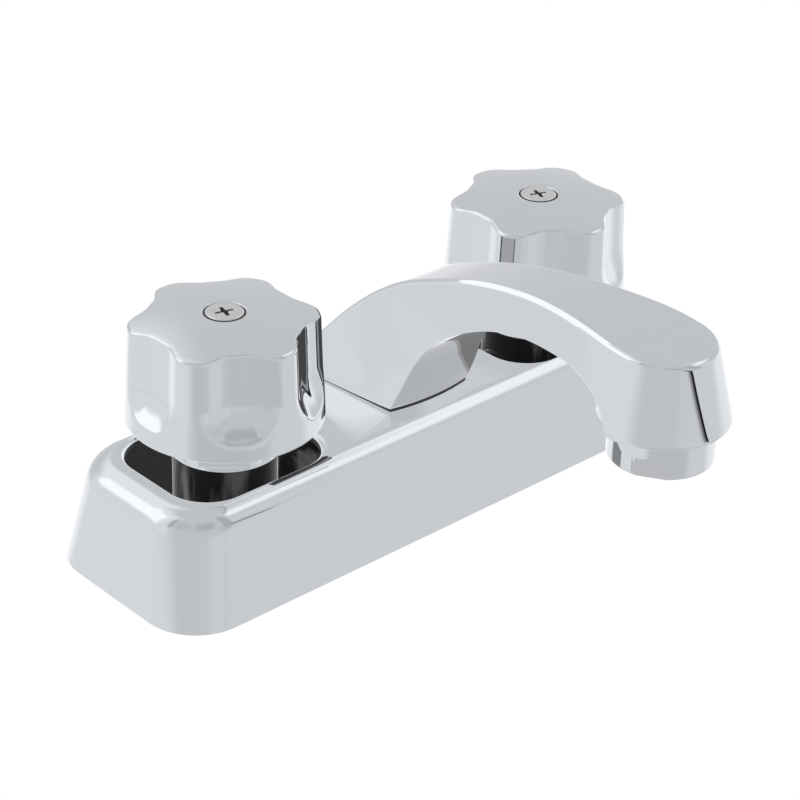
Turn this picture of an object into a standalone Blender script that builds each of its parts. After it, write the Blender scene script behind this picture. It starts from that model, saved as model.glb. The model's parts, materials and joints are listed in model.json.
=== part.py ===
"""Basin mixer tap: a four-inch centreset with two knobs and a fixed arched spout.

X runs along the deck, the spout reaches towards -Y and +Z is up. The origin lies on the
deck face under the middle of the cover. The hot valve is at -X and the cold valve at +X.
Lengths are in metres.
"""
import math

import bmesh
import bpy
from mathutils import Matrix, Vector

MM = 0.001
CLEAR = 0.3 * MM            # gap between pieces that seat on or slide in each other

# Valve spacing: four-inch centres
VALVE_X = 50.8 * MM
KNOB_TRAVEL = 90.0          # degrees, quarter-turn ceramic valves

# Cover
COVER_HALF_LENGTH = 84.2 * MM
COVER_HALF_DEPTH = 27.5 * MM
COVER_HEIGHT = 27.3 * MM
COVER_LEAN_X = 4.0 * MM     # how far the ends lean in over the height
COVER_LEAN_Y = 5.4 * MM     # how far the front and back lean in over the height
COVER_CORNER = 14.0 * MM
COVER_EDGE = 5.0 * MM       # radius of the soft top edge
COVER_WALL = 2.2 * MM
COVER_ROOF = 2.5 * MM

# Openings round the valves
WELL_SHIFT = 0.6 * MM       # the openings lie this much outboard of the valves
WELL_HALF_LENGTH = 20.9 * MM
WELL_HALF_DEPTH = 17.6 * MM
WELL_CORNER = 10.5 * MM
WELL_LIP = 1.2 * MM         # radius of the rolled lip

# Boss under the spout
BOSS_RISE = 2.5 * MM
BOSS_LEAN = 1.6 * MM        # how far the foot of its front wall stands forward
BOSS_SKIRT_FRONT = 13.6 * MM    # width of the concave flank at the front
BOSS_SKIRT_BACK = 6.0 * MM
BOSS_MARGIN = 0.3 * MM
BOSS_TOP_Z = COVER_HEIGHT + BOSS_RISE

# Spout
SPOUT_GAP = 1.2 * MM        # between the boss and the spout's foot, filled by the gasket
SPOUT_BASE_Z = BOSS_TOP_Z + SPOUT_GAP
SPOUT_EDGE = 1.1 * MM
SPOUT_BOW = 1.4 * MM        # how far the foot's front edge bows out
HEAD_CENTRE_Y = -86.3 * MM
HEAD_TOP_RADIUS = 12.1 * MM
HEAD_BOTTOM_RADIUS = 16.8 * MM
HEAD_TOP_Z = SPOUT_BASE_Z + 44.0 * MM
HEAD_TOP_FALL = 0.8 * MM    # how much lower the tip of the head is than its middle
HEAD_BOTTOM_Z = SPOUT_BASE_Z + 25.0 * MM
HEAD_LIP = 1.3 * MM
HEAD_BACK_RADIUS = 13.4 * MM    # the round wall behind the outlet, inside the nose in front
HEAD_BACK_HEIGHT = 13.0 * MM
HEAD_BACK_TAPER = 1.0 * MM
CHANNEL_RADIUS = 3.2 * MM

# Each row is one section of the spout, from the foot to the head: the top edge's Y, height
# over the foot and half width, then the lower edge's Y, height and half width, in millimetres
SPOUT_SECTIONS = (
    (18.3, 0.0, 15.3, -15.6, 0.0, 12.7),
    (13.0, 8.0, 11.6, -17.6, 4.3, 12.5),
    (6.0, 16.4, 9.4, -19.6, 9.0, 12.0),
    (-2.0, 23.9, 8.1, -21.8, 14.0, 11.3),
    (-11.2, 30.3, 7.7, -25.4, 19.2, 10.8),
    (-20.5, 34.6, 7.7, -30.6, 24.1, 10.5),
    (-31.0, 38.6, 7.8, -37.0, 28.2, 10.2),
    (-42.5, 41.9, 7.9, -45.0, 31.7, 10.0),
    (-54.0, 43.9, 8.4, -54.5, 34.1, 10.4),
    (-64.0, 44.7, 9.5, -64.0, 35.0, 11.6),
    (-72.5, 44.8, 10.9, -71.8, 34.9, 13.0),
    (-79.5, 44.5, 11.9, -78.3, 33.3, 14.7),
    (-83.8, 44.2, 12.1, -83.2, 30.4, 16.1),
)
SPOUT_STEPS = 3             # facets along each section
NOSE_STEPS = 11             # facets round a quarter of the nose

# Aerator, its thread a plain cylinder
AERATOR_BORE = 10.2 * MM
AERATOR_RADIUS = 12.0 * MM
AERATOR_Y = HEAD_CENTRE_Y - 2.0 * MM
AERATOR_BOTTOM_Z = HEAD_BOTTOM_Z - 8.8 * MM
AERATOR_LIP = 0.6 * MM
AERATOR_FLAT = 11.1 * MM    # centre to wrench flat
AERATOR_FLAT_HEIGHT = 3.4 * MM
AERATOR_FLAT_TURN = 33.0    # degrees
AERATOR_NECK = 7.0 * MM     # length of the screwed neck
AERATOR_MOUTH = 8.9 * MM
AERATOR_STEP = 1.0 * MM     # how much narrower the neck is than the mouth
AERATOR_WASHER = 1.6 * MM
AERATOR_WASHER_BORE = 6.9 * MM
INSERT_HOLE = 1.1 * MM
INSERT_HOLES = 8            # in one ring, and one more in the middle
INSERT_RING = 0.66          # the ring's share of the insert's radius

# Base plate
PLATE_THICKNESS = 2.6 * MM

# Spout fixing
NIPPLE_RADIUS = 6.0 * MM
NIPPLE_BORE = 4.2 * MM
NIPPLE_DEPTH = 12.5 * MM    # how far it screws into the spout
NIPPLE_NUT_FLATS = 19.0 * MM
NIPPLE_NUT_HEIGHT = 4.4 * MM
NIPPLE_NUT_ROOM = 0.7 * MM  # between the nut and the base plate
NIPPLE_WASHER = 1.0 * MM
GASKET_INSET = 1.6 * MM
RING_SECTION = 0.8 * MM     # radius of an O-ring's cord

# Waterway body, its hub and bar sized by the room between the spout's washer and the roof
HUB_RADIUS = 13.0 * MM
HUB_BOTTOM_Z = PLATE_THICKNESS + NIPPLE_NUT_ROOM + NIPPLE_NUT_HEIGHT + NIPPLE_WASHER + 2.0 * CLEAR
HUB_TOP_Z = COVER_HEIGHT - COVER_ROOF - CLEAR
HUB_ROOM = HUB_TOP_Z - HUB_BOTTOM_Z
HUB_CHAMBER = 8.6 * MM
HUB_CHAMBER_HEIGHT = 0.395 * HUB_ROOM
NIPPLE_WINDOW = 0.29 * HUB_ROOM     # height of the ports that let the water in
BODY_BAR = 0.428 * HUB_ROOM
BODY_BAR_WALL = 2.2 * MM
BODY_BAR_Z = HUB_BOTTOM_Z + 0.44 * HUB_ROOM
BODY_BARREL = 12.4 * MM
BODY_BORE = 9.2 * MM
BODY_SEAT_Z = HUB_BOTTOM_Z - 0.8 * MM
BODY_SEAT_THICKNESS = 3.0 * MM
BODY_SHOULDER_Z = COVER_HEIGHT + 1.2 * MM
BODY_NECK = 10.7 * MM
BODY_NECK_Z = BODY_SHOULDER_Z + 3.5 * MM
BODY_FOOT_RADIUS = 16.0 * MM
BODY_FOOT_HEIGHT = 3.6 * MM
SHANK_RADIUS = 10.2 * MM
SHANK_BORE = 6.0 * MM
SHANK_LENGTH = 44.0 * MM
SEAT_HOLE = 4.8 * MM

# Fixing below the deck
DECK_THICKNESS = 18.0 * MM  # the thickness that the nuts are drawn up against
WASHER_RADIUS = 17.5 * MM
WASHER_THICKNESS = 1.6 * MM
LOCK_NUT_FLATS = 32.0 * MM
LOCK_NUT_HEIGHT = 8.0 * MM

# Cartridge
SLEEVE_WALL = 1.4 * MM
SLEEVE_LIFT = 1.1 * MM      # the sleeve ends this far above the seat
SLEEVE_FLANGE = 1.3 * MM
SLEEVE_WINDOW = 3.0 * MM    # half width of the ports that let the water out
CHAMBER_ROOM = 0.7 * MM     # between the stem's plate and the chamber's roof
DISC_HEIGHT = 3.0 * MM
DISC_PORT = (0.3, 0.78)     # inner and outer edge of a port, as shares of the disc's radius
DISC_PORT_SWEEP = 70.0      # degrees
SEAL_HEIGHT = 3.0 * MM
STEM_RADIUS = 5.0 * MM
STEM_PLATE = 2.5 * MM
STEM_RING_LIFT = 3.5 * MM   # the ring's middle over the chamber's roof
SPLINE_TEETH = 10
SPLINE_FACETS = 3           # points on each tooth
SPLINE_DEPTH = 0.5 * MM
SPLINE_RUN_OUT = 1.2 * MM   # how far the splines reach below the knob's socket

# Bonnet nut
NUT_FLATS = 24.8 * MM
NUT_CORNERS = 13.6 * MM
NUT_TURN = -130.5           # degrees, the direction that one flat faces
NUT_TOP_Z = BODY_SHOULDER_Z + 7.3 * MM
NUT_WEB = 1.7 * MM

# Knob
KNOB_BOTTOM_Z = NUT_TOP_Z + 1.0 * MM
KNOB_TOP_Z = KNOB_BOTTOM_Z + 26.9 * MM
KNOB_RIM_RADIUS = 23.35 * MM
KNOB_TOP_RADIUS = 22.2 * MM
KNOB_DOME = 2.1 * MM        # fall of the top from its middle to its edge
KNOB_EDGE = 1.1 * MM
KNOB_FOOT_EDGE = 0.8 * MM
KNOB_LOBES = 6
KNOB_MEAN_DEPTH = 2.0 * MM
KNOB_FLUTE = (2.2 * MM, 0.3 * MM, -0.1 * MM)    # first three harmonics of the outline
KNOB_SCOOP = 11.0 * MM      # radius of the flutes' run-out
KNOB_SCOOP_Z = KNOB_BOTTOM_Z + 12.7 * MM
KNOB_SCOOP_BLEND = 0.35 * MM
KNOB_WALL = 2.75 * MM       # of the skirt
KNOB_SKIRT_DEPTH = 4.0 * MM
KNOB_CORE_BORE = KNOB_RIM_RADIUS - 7.75 * MM    # inside the flutes
KNOB_CORE_Z = KNOB_TOP_Z - 8.7 * MM
KNOB_SOCKET = 8.0 * MM
KNOB_SOCKET_LIFT = 1.8 * MM     # the socket's end over the foot
KNOB_TURN = {"hot": 30.5, "cold": 26.3}     # degrees from +X to the first lobe
KNOB_SEGMENTS = 54          # facets round it, a multiple of the lobes
KNOB_LEVELS = 7             # facets up the side
KNOB_EDGE_LEVELS = 3

# Handle screw, and the stem's top under it
STEM_TOP_Z = KNOB_TOP_Z - 7.7 * MM
SCREW_HEAD = 4.7 * MM
SCREW_HEAD_HEIGHT = 1.5 * MM
SCREW_HEAD_EDGE = 0.35 * MM
SCREW_SHANK = 2.0 * MM
SCREW_END_Z = STEM_TOP_Z - 10.0 * MM
SCREW_PROUD = 0.25 * MM     # how far the head stands above the knob's middle
CROSS_LENGTH = 4.6 * MM
CROSS_WIDTH = 1.0 * MM
CROSS_DEPTH = 1.3 * MM

FINE_SEGMENTS = 32          # segments of a round piece in view
ROUND_SEGMENTS = 24
COARSE_SEGMENTS = 16        # segments of a small or hidden one
CHANNEL_SEGMENTS = 12       # segments of the spout's channel
CORD_SEGMENTS = 6           # segments round an O-ring's cord


# Materials

def material(name, colour, metallic, roughness):
    made = bpy.data.materials.new(name)
    made.use_nodes = True
    shader = made.node_tree.nodes["Principled BSDF"]
    shader.inputs["Base Color"].default_value = (*colour, 1.0)
    shader.inputs["Metallic"].default_value = metallic
    shader.inputs["Roughness"].default_value = roughness
    made.diffuse_color = (*colour, 1.0)
    return made


def make_materials():
    return {
        "chrome": material("chrome", (0.78, 0.79, 0.81), 1.0, 0.06),
        "steel": material("steel", (0.62, 0.61, 0.59), 1.0, 0.25),
        "brass": material("brass", (0.72, 0.52, 0.25), 1.0, 0.25),
        "black_plastic": material("black_plastic", (0.012, 0.012, 0.013), 0.0, 0.25),
        "white_plastic": material("white_plastic", (0.75, 0.75, 0.73), 0.0, 0.4),
        "rubber": material("rubber", (0.02, 0.02, 0.02), 0.0, 0.7),
        "ceramic": material("ceramic", (0.85, 0.84, 0.80), 0.0, 0.2),
    }


# Building blocks

def add_object(name, mesh, surface=None, smooth_angle=35.0):
    mesh.name = name
    if surface is not None:
        mesh.materials.append(surface)
    mesh.shade_smooth()
    mesh.set_sharp_from_angle(angle=math.radians(smooth_angle))
    made = bpy.data.objects.new(name, mesh)
    bpy.context.collection.objects.link(made)
    return made


def mesh_from(bm):
    bmesh.ops.recalc_face_normals(bm, faces=bm.faces)
    mesh = bpy.data.meshes.new("mesh")
    bm.to_mesh(mesh)
    bm.free()
    return mesh


def loft(rings):
    """A closed solid through rings of equally many points, with a cap at each end."""
    bm = bmesh.new()
    rows = [[bm.verts.new(point) for point in ring] for ring in rings]
    count = len(rows[0])
    for lower, upper in zip(rows, rows[1:]):
        for i in range(count):
            j = (i + 1) % count
            bm.faces.new((lower[i], lower[j], upper[j], upper[i]))
    bm.faces.new(rows[0])
    bm.faces.new(rows[-1])
    return mesh_from(bm)


def turned(profile, segments):
    """A closed (radius, z) profile turned about Z. A point of radius 0 becomes a pole."""
    bm = bmesh.new()
    rows = []
    for radius, z in profile:
        if radius <= 0.0:
            rows.append([bm.verts.new((0.0, 0.0, z))] * segments)
            continue
        angles = [math.tau * (i + 0.5) / segments for i in range(segments)]
        rows.append([bm.verts.new((radius * math.cos(a), radius * math.sin(a), z)) for a in angles])
    pairs = list(zip(rows, rows[1:]))
    if profile[0][0] > 0.0 or profile[-1][0] > 0.0:
        pairs.append((rows[-1], rows[0]))
    for one, two in pairs:
        for i in range(segments):
            j = (i + 1) % segments
            corners = list(dict.fromkeys((one[i], one[j], two[j], two[i])))
            if len(corners) > 2:
                bm.faces.new(corners)
    return mesh_from(bm)


def tube(outer, inner, bottom, top, segments):
    return turned([(inner, bottom), (outer, bottom), (outer, top), (inner, top)], segments)


def rod(radius, bottom, top, segments):
    return turned([(0.0, bottom), (radius, bottom), (radius, top), (0.0, top)], segments)


def ring_cord(major, minor, z, segments):
    """An O-ring."""
    angles = [math.tau * i / CORD_SEGMENTS for i in range(CORD_SEGMENTS)]
    profile = [(major + minor * math.cos(a), z + minor * math.sin(a)) for a in angles]
    return turned(profile, segments)


def rounded_rectangle(half_x, half_y, radius, z, steps=6):
    points = []
    corners = ((1, 1, 0), (-1, 1, 90), (-1, -1, 180), (1, -1, 270))
    for side_x, side_y, start in corners:
        centre_x = side_x * (half_x - radius)
        centre_y = side_y * (half_y - radius)
        for step in range(steps + 1):
            angle = math.radians(start + 90.0 * step / steps)
            points.append((centre_x + radius * math.cos(angle), centre_y + radius * math.sin(angle), z))
    return points


def pins_mesh(places, radius, bottom, top, corners=6):
    """Several upright pins in one mesh."""
    bm = bmesh.new()
    for x, y in places:
        turns = [math.tau * k / corners for k in range(corners)]
        outline = [(x + radius * math.cos(turn), y + radius * math.sin(turn)) for turn in turns]
        low = [bm.verts.new((*point, bottom)) for point in outline]
        high = [bm.verts.new((*point, top)) for point in outline]
        bm.faces.new(low)
        bm.faces.new(high)
        for k in range(corners):
            m = (k + 1) % corners
            bm.faces.new((low[k], low[m], high[m], high[k]))
    return mesh_from(bm)


def box(half_x, half_y, bottom, top):
    return loft([[(-half_x, -half_y, z), (half_x, -half_y, z), (half_x, half_y, z), (-half_x, half_y, z)]
                 for z in (bottom, top)])


def hexagon(flats, bottom, top, corners=None):
    """A hexagonal prism; its corners are turned down to a radius if one is given."""
    half = flats / 2.0
    outline = []
    for side in range(6):
        middle = math.pi / 3.0 * side
        if corners is None:
            outline.append((half / math.cos(math.pi / 6.0), middle + math.pi / 6.0))
            continue
        bend = math.acos(half / corners)
        outline += [(corners, middle - bend), (corners, middle + bend), (corners, middle + math.pi / 6.0)]
    points = [(radius * math.cos(turn), radius * math.sin(turn)) for radius, turn in outline]
    return loft([[(x, y, z) for x, y in points] for z in (bottom, top)])


def modify(target, tool, operation):
    tool.hide_render = True
    tool.display_type = "WIRE"
    step = target.modifiers.new(f"{operation.lower()}_{tool.name}", "BOOLEAN")
    step.operation = operation
    step.object = tool
    step.solver = "EXACT"


def cut(target, mesh, name, location=(0.0, 0.0, 0.0), rotation=(0.0, 0.0, 0.0)):
    tool = add_object(f"cut_{target.name}_{name}", mesh)
    tool.location = location
    tool.rotation_euler = rotation
    modify(target, tool, "DIFFERENCE")


def join(target, mesh, name, location=(0.0, 0.0, 0.0), rotation=(0.0, 0.0, 0.0)):
    tool = add_object(f"add_{target.name}_{name}", mesh)
    tool.location = location
    tool.rotation_euler = rotation
    modify(target, tool, "UNION")


# Cover, base plate

def cover_ring(z, inset=0.0):
    """The cover's outline at a height, with its sides leaning in."""
    share = z / COVER_HEIGHT
    return rounded_rectangle(COVER_HALF_LENGTH - COVER_LEAN_X * share - inset,
                             COVER_HALF_DEPTH - COVER_LEAN_Y * share - inset,
                             COVER_CORNER - inset, z)


def cover_outside():
    """Leaning sides under a soft top edge."""
    rings = [cover_ring(0.0), cover_ring(COVER_HEIGHT - COVER_EDGE)]
    steps = 6
    for step in range(1, steps + 1):
        angle = math.radians(90.0 * step / steps)
        z = COVER_HEIGHT - COVER_EDGE * (1.0 - math.sin(angle))
        rings.append(cover_ring(z, COVER_EDGE * (1.0 - math.cos(angle))))
    return loft(rings)


def cover_inside():
    roof = COVER_HEIGHT - COVER_ROOF
    edge = COVER_EDGE - COVER_WALL
    return loft([cover_ring(-MM, COVER_WALL), cover_ring(roof - edge, COVER_WALL),
                 cover_ring(roof - edge * 0.3, COVER_WALL + edge * 0.3),
                 cover_ring(roof, COVER_WALL + edge)])


def well_cutter():
    """An opening with a rolled lip, widest at the top."""
    rings = []
    levels = [(COVER_HEIGHT - COVER_ROOF - MM, 0.0), (COVER_HEIGHT - WELL_LIP, 0.0)]
    for angle in (30.0, 60.0, 80.0):
        turn = math.radians(angle)
        levels.append((COVER_HEIGHT - WELL_LIP * (1.0 - math.sin(turn)), WELL_LIP * (1.0 - math.cos(turn))))
    levels.append((COVER_HEIGHT + MM, WELL_LIP))
    for z, grow in levels:
        rings.append(rounded_rectangle(WELL_HALF_LENGTH + grow, WELL_HALF_DEPTH + grow,
                                       WELL_CORNER + grow, z))
    return loft(rings)


def spout_rows():
    """The section table in metres, its heights counted from the deck."""
    lift = SPOUT_BASE_Z / MM
    return [tuple(value * MM for value in (ty, tz + lift, tw, ly, lz + lift, lw))
            for ty, tz, tw, ly, lz, lw in SPOUT_SECTIONS]


def foot_half_width(y):
    """Half width of the spout's foot at a depth."""
    back_y, _, back_width, front_y, _, front_width = spout_rows()[0]
    return front_width + (back_width - front_width) * (y - front_y) / (back_y - front_y)


def boss_mesh():
    """The land under the spout, with a concave flank down towards each valve."""
    back_y, _, _, front_y, _, _ = spout_rows()[0]
    rows = 8
    shares = (0.0, 0.15, 0.35, 0.6, 0.8, 1.0)
    under = COVER_HEIGHT - COVER_ROOF * 0.5
    sunk = 0.05 * MM        # the flank's foot runs just into the roof
    bm = bmesh.new()
    top_rows, low_rows = [], []
    for row in range(rows + 1):
        share_y = row / rows
        y = front_y + (back_y - front_y) * share_y
        edge = foot_half_width(y) + BOSS_MARGIN
        skirt = BOSS_SKIRT_BACK + (BOSS_SKIRT_FRONT - BOSS_SKIRT_BACK) * (1.0 - share_y) ** 2
        half = [(edge * 0.5, BOSS_RISE)]
        half += [(edge + skirt * s, (BOSS_RISE + sunk) * (1.0 - s) ** 1.6 - sunk) for s in shares]
        line = [(-x, z) for x, z in reversed(half)] + [(0.0, BOSS_RISE)] + half
        top_row, low_row = [], []
        for x, rise in line:
            bow = SPOUT_BOW * (1.0 - (x / edge) ** 2) if row == 0 and abs(x) < edge else 0.0
            foot = BOSS_LEAN if row == 0 else 0.0
            lean = foot * (1.0 - max(rise, 0.0) / BOSS_RISE)
            top_row.append(bm.verts.new((x, y - bow - lean, COVER_HEIGHT + rise)))
            low_row.append(bm.verts.new((x, y - bow - foot, under)))
        top_rows.append(top_row)
        low_rows.append(low_row)
    for grid in (top_rows, low_rows):
        for one, two in zip(grid, grid[1:]):
            for i in range(len(one) - 1):
                bm.faces.new((one[i], one[i + 1], two[i + 1], two[i]))
    for row in (0, -1):
        for i in range(len(top_rows[row]) - 1):
            bm.faces.new((top_rows[row][i], top_rows[row][i + 1], low_rows[row][i + 1], low_rows[row][i]))
    for column in (0, -1):
        for i in range(rows):
            bm.faces.new((top_rows[i][column], top_rows[i + 1][column],
                          low_rows[i + 1][column], low_rows[i][column]))
    return mesh_from(bm)


def make_cover(surface):
    cover = add_object("cover", cover_outside(), surface)
    cut(cover, cover_inside(), "inside")
    join(cover, boss_mesh(), "boss")
    for side in (-1, 1):
        name = "hot_well" if side < 0 else "cold_well"
        cut(cover, well_cutter(), name, (side * (VALVE_X + WELL_SHIFT), 0.0, 0.0))
    hole = rod(NIPPLE_RADIUS + CLEAR, COVER_HEIGHT - COVER_ROOF - MM, SPOUT_BASE_Z, ROUND_SEGMENTS)
    cut(cover, hole, "spout_hole")
    return cover


def make_base_plate(surface):
    """A flat plate that closes the cover from below, round the two shanks."""
    inset = COVER_WALL + CLEAR + COVER_LEAN_Y * PLATE_THICKNESS / COVER_HEIGHT
    outline = cover_ring(0.0, inset)
    raised = [(x, y, PLATE_THICKNESS) for x, y, _ in outline]
    plate = add_object("base_plate", loft([outline, raised]), surface)
    for side in (-1, 1):
        name = "hot_shank" if side < 0 else "cold_shank"
        hole = rod(SHANK_RADIUS + CLEAR, -MM, PLATE_THICKNESS + MM, ROUND_SEGMENTS)
        cut(plate, hole, name, (side * VALVE_X, 0.0, 0.0))
    return plate


# Waterway body

def make_underbody(surface):
    """Two valve barrels, the bar and hub between them, and the two threaded inlet shanks."""
    foot_z = PLATE_THICKNESS + CLEAR
    body = add_object("underbody", rod(HUB_RADIUS, HUB_BOTTOM_Z, HUB_TOP_Z, ROUND_SEGMENTS), surface)
    reach = VALVE_X - BODY_BORE * 0.5
    bar = rod(BODY_BAR, -reach, reach, COARSE_SEGMENTS)
    join(body, bar, "bar", (0.0, 0.0, BODY_BAR_Z), (0.0, math.pi / 2.0, 0.0))
    barrel = [(0.0, -SHANK_LENGTH), (SHANK_RADIUS, -SHANK_LENGTH), (SHANK_RADIUS, foot_z),
              (BODY_FOOT_RADIUS, foot_z), (BODY_FOOT_RADIUS, foot_z + BODY_FOOT_HEIGHT),
              (BODY_BARREL, foot_z + BODY_FOOT_HEIGHT), (BODY_BARREL, BODY_SHOULDER_Z),
              (BODY_NECK, BODY_SHOULDER_Z), (BODY_NECK, BODY_NECK_Z), (0.0, BODY_NECK_Z)]
    under_seat = BODY_SEAT_Z - BODY_SEAT_THICKNESS
    bore = [(0.0, -SHANK_LENGTH - MM), (SHANK_BORE, -SHANK_LENGTH - MM), (SHANK_BORE, under_seat),
            (SEAT_HOLE, under_seat), (SEAT_HOLE, BODY_SEAT_Z), (BODY_BORE, BODY_SEAT_Z),
            (BODY_BORE, BODY_NECK_Z + MM), (0.0, BODY_NECK_Z + MM)]
    for side in (-1, 1):
        place = (side * VALVE_X, 0.0, 0.0)
        join(body, turned(barrel, ROUND_SEGMENTS), "hot_barrel" if side < 0 else "cold_barrel", place)
        cut(body, turned(bore, COARSE_SEGMENTS), "hot_bore" if side < 0 else "cold_bore", place)
    passage = rod(BODY_BAR - BODY_BAR_WALL, -reach, reach, COARSE_SEGMENTS)
    cut(body, passage, "passage", (0.0, 0.0, BODY_BAR_Z), (0.0, math.pi / 2.0, 0.0))
    half = HUB_CHAMBER_HEIGHT / 2.0
    hub_bore = [(0.0, HUB_BOTTOM_Z - MM), (NIPPLE_RADIUS + CLEAR, HUB_BOTTOM_Z - MM),
                (NIPPLE_RADIUS + CLEAR, BODY_BAR_Z - half), (HUB_CHAMBER, BODY_BAR_Z - half),
                (HUB_CHAMBER, BODY_BAR_Z + half), (NIPPLE_RADIUS + CLEAR, BODY_BAR_Z + half),
                (NIPPLE_RADIUS + CLEAR, HUB_TOP_Z + MM), (0.0, HUB_TOP_Z + MM)]
    cut(body, turned(hub_bore, COARSE_SEGMENTS), "hub_bore")
    return body


# Spout

def catmull(before, start, end, after, share):
    """A smooth curve through start and end, for each number of a row."""
    square, cube = share * share, share ** 3
    return tuple(0.5 * (2.0 * b + (c - a) * share + (2.0 * a - 5.0 * b + 4.0 * c - d) * square
                        + (3.0 * b - a - 3.0 * c + d) * cube)
                 for a, b, c, d in zip(before, start, end, after))


def spout_ribs(steps, nose_steps):
    """The top and lower edge points on the -X side, from the foot to the tip of the nose."""
    rows = spout_rows()
    rows.append((HEAD_CENTRE_Y, HEAD_TOP_Z, HEAD_TOP_RADIUS,
                 HEAD_CENTRE_Y, HEAD_BOTTOM_Z, HEAD_BOTTOM_RADIUS))
    ribs = []
    for k in range(len(rows) - 1):
        before = rows[max(k - 1, 0)]
        after = rows[min(k + 2, len(rows) - 1)]
        for step in range(steps):
            ribs.append(catmull(before, rows[k], rows[k + 1], after, step / steps))
    for step in range(nose_steps + 1):
        turn = math.radians(90.0 * step / nose_steps)
        ribs.append((HEAD_CENTRE_Y - HEAD_TOP_RADIUS * math.sin(turn),
                     HEAD_TOP_Z - HEAD_TOP_FALL * math.sin(turn), HEAD_TOP_RADIUS * math.cos(turn),
                     HEAD_CENTRE_Y - HEAD_BOTTOM_RADIUS * math.sin(turn), HEAD_BOTTOM_Z,
                     HEAD_BOTTOM_RADIUS * math.cos(turn)))
    return ribs


def spout_skin(steps, nose_steps, edge_segments):
    """The outer form: a top strip, two leaning sides and an underside that meet at the nose."""
    ribs = spout_ribs(steps, nose_steps)
    bm = bmesh.new()
    sides = []
    for side in (-1, 1):
        top = [bm.verts.new((side * w, y, z)) for y, z, w, _, _, _ in ribs[:-1]]
        low = [bm.verts.new((side * w, y, z)) for _, _, _, y, z, w in ribs[:-1]]
        sides.append((top, low))
    tip_top = bm.verts.new((0.0, ribs[-1][0], ribs[-1][1]))
    tip_low = bm.verts.new((0.0, ribs[-1][3], ribs[-1][4]))
    (left_top, left_low), (right_top, right_low) = sides
    count = len(left_top)
    for top, low in sides:
        for i in range(count - 1):
            bm.faces.new((top[i], top[i + 1], low[i + 1], low[i]))
        bm.faces.new((top[-1], tip_top, tip_low, low[-1]))
    for left, right, tip in ((left_top, right_top, tip_top), (left_low, right_low, tip_low)):
        for i in range(count - 1):
            bm.faces.new((left[i], left[i + 1], right[i + 1], right[i]))
        bm.faces.new((left[-1], tip, right[-1]))
    bm.faces.new((left_top[0], right_top[0], right_low[0], left_low[0]))
    bmesh.ops.recalc_face_normals(bm, faces=bm.faces)

    def chain(verts):
        return [bm.edges.get(pair) for pair in zip(verts, verts[1:])]

    top_edge = chain(left_top + [tip_top] + right_top[::-1])
    first_nose = count - nose_steps
    low_edge = chain(left_low[first_nose:] + [tip_low] + right_low[first_nose:][::-1])
    bmesh.ops.bevel(bm, geom=top_edge, offset=SPOUT_EDGE, offset_type="OFFSET", segments=edge_segments,
                    profile=0.5, affect="EDGES", clamp_overlap=False)
    low_edge = [edge for edge in low_edge if edge.is_valid]
    bmesh.ops.bevel(bm, geom=low_edge, offset=HEAD_LIP, offset_type="OFFSET", segments=edge_segments,
                    profile=0.5, affect="EDGES", clamp_overlap=False)
    return mesh_from(bm)


def bow_mesh():
    """The bowed front of the spout's foot, between the foot and the rising front face."""
    front = [row[3:] for row in spout_rows()[:5]]
    inward = 4.0 * MM
    rings = []
    for k, (y, z, width) in enumerate(front):
        bow = SPOUT_BOW * (1.0 - k / (len(front) - 1))
        outline = []
        steps = 10
        for step in range(steps + 1):
            share = 2.0 * step / steps - 1.0
            outline.append((width * 0.995 * share, y - bow * (1.0 - share * share), z))
        outline += [(width * 0.6, y + inward, z), (-width * 0.6, y + inward, z)]
        rings.append(outline)
    return loft(rings)


def channel_path():
    """Middle of the section at each row, from the foot's bore to the aerator's bore."""
    path = [(0.0, 0.0, SPOUT_BASE_Z + NIPPLE_DEPTH - MM)]
    for top_y, top_z, _, low_y, low_z, _ in spout_rows()[4:11]:
        path.append((0.0, (top_y + low_y) / 2.0, (top_z + low_z) / 2.0))
    path.append((0.0, AERATOR_Y + AERATOR_BORE * 0.4, aerator_bore_top()))
    return path


def aerator_bore_top():
    """Room in the head for the aerator's neck and its washer."""
    return HEAD_BOTTOM_Z + AERATOR_NECK + AERATOR_WASHER + MM


def channel_mesh():
    """A round tube along the channel's path."""
    path = [Vector(point) for point in channel_path()]
    rings = []
    for i, point in enumerate(path):
        along = (path[min(i + 1, len(path) - 1)] - path[max(i - 1, 0)]).normalized()
        across = Vector((1.0, 0.0, 0.0))
        up = across.cross(along)
        rings.append([point + CHANNEL_RADIUS * (across * math.cos(math.tau * k / CHANNEL_SEGMENTS)
                                                + up * math.sin(math.tau * k / CHANNEL_SEGMENTS))
                      for k in range(CHANNEL_SEGMENTS)])
    return loft(rings)


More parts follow.
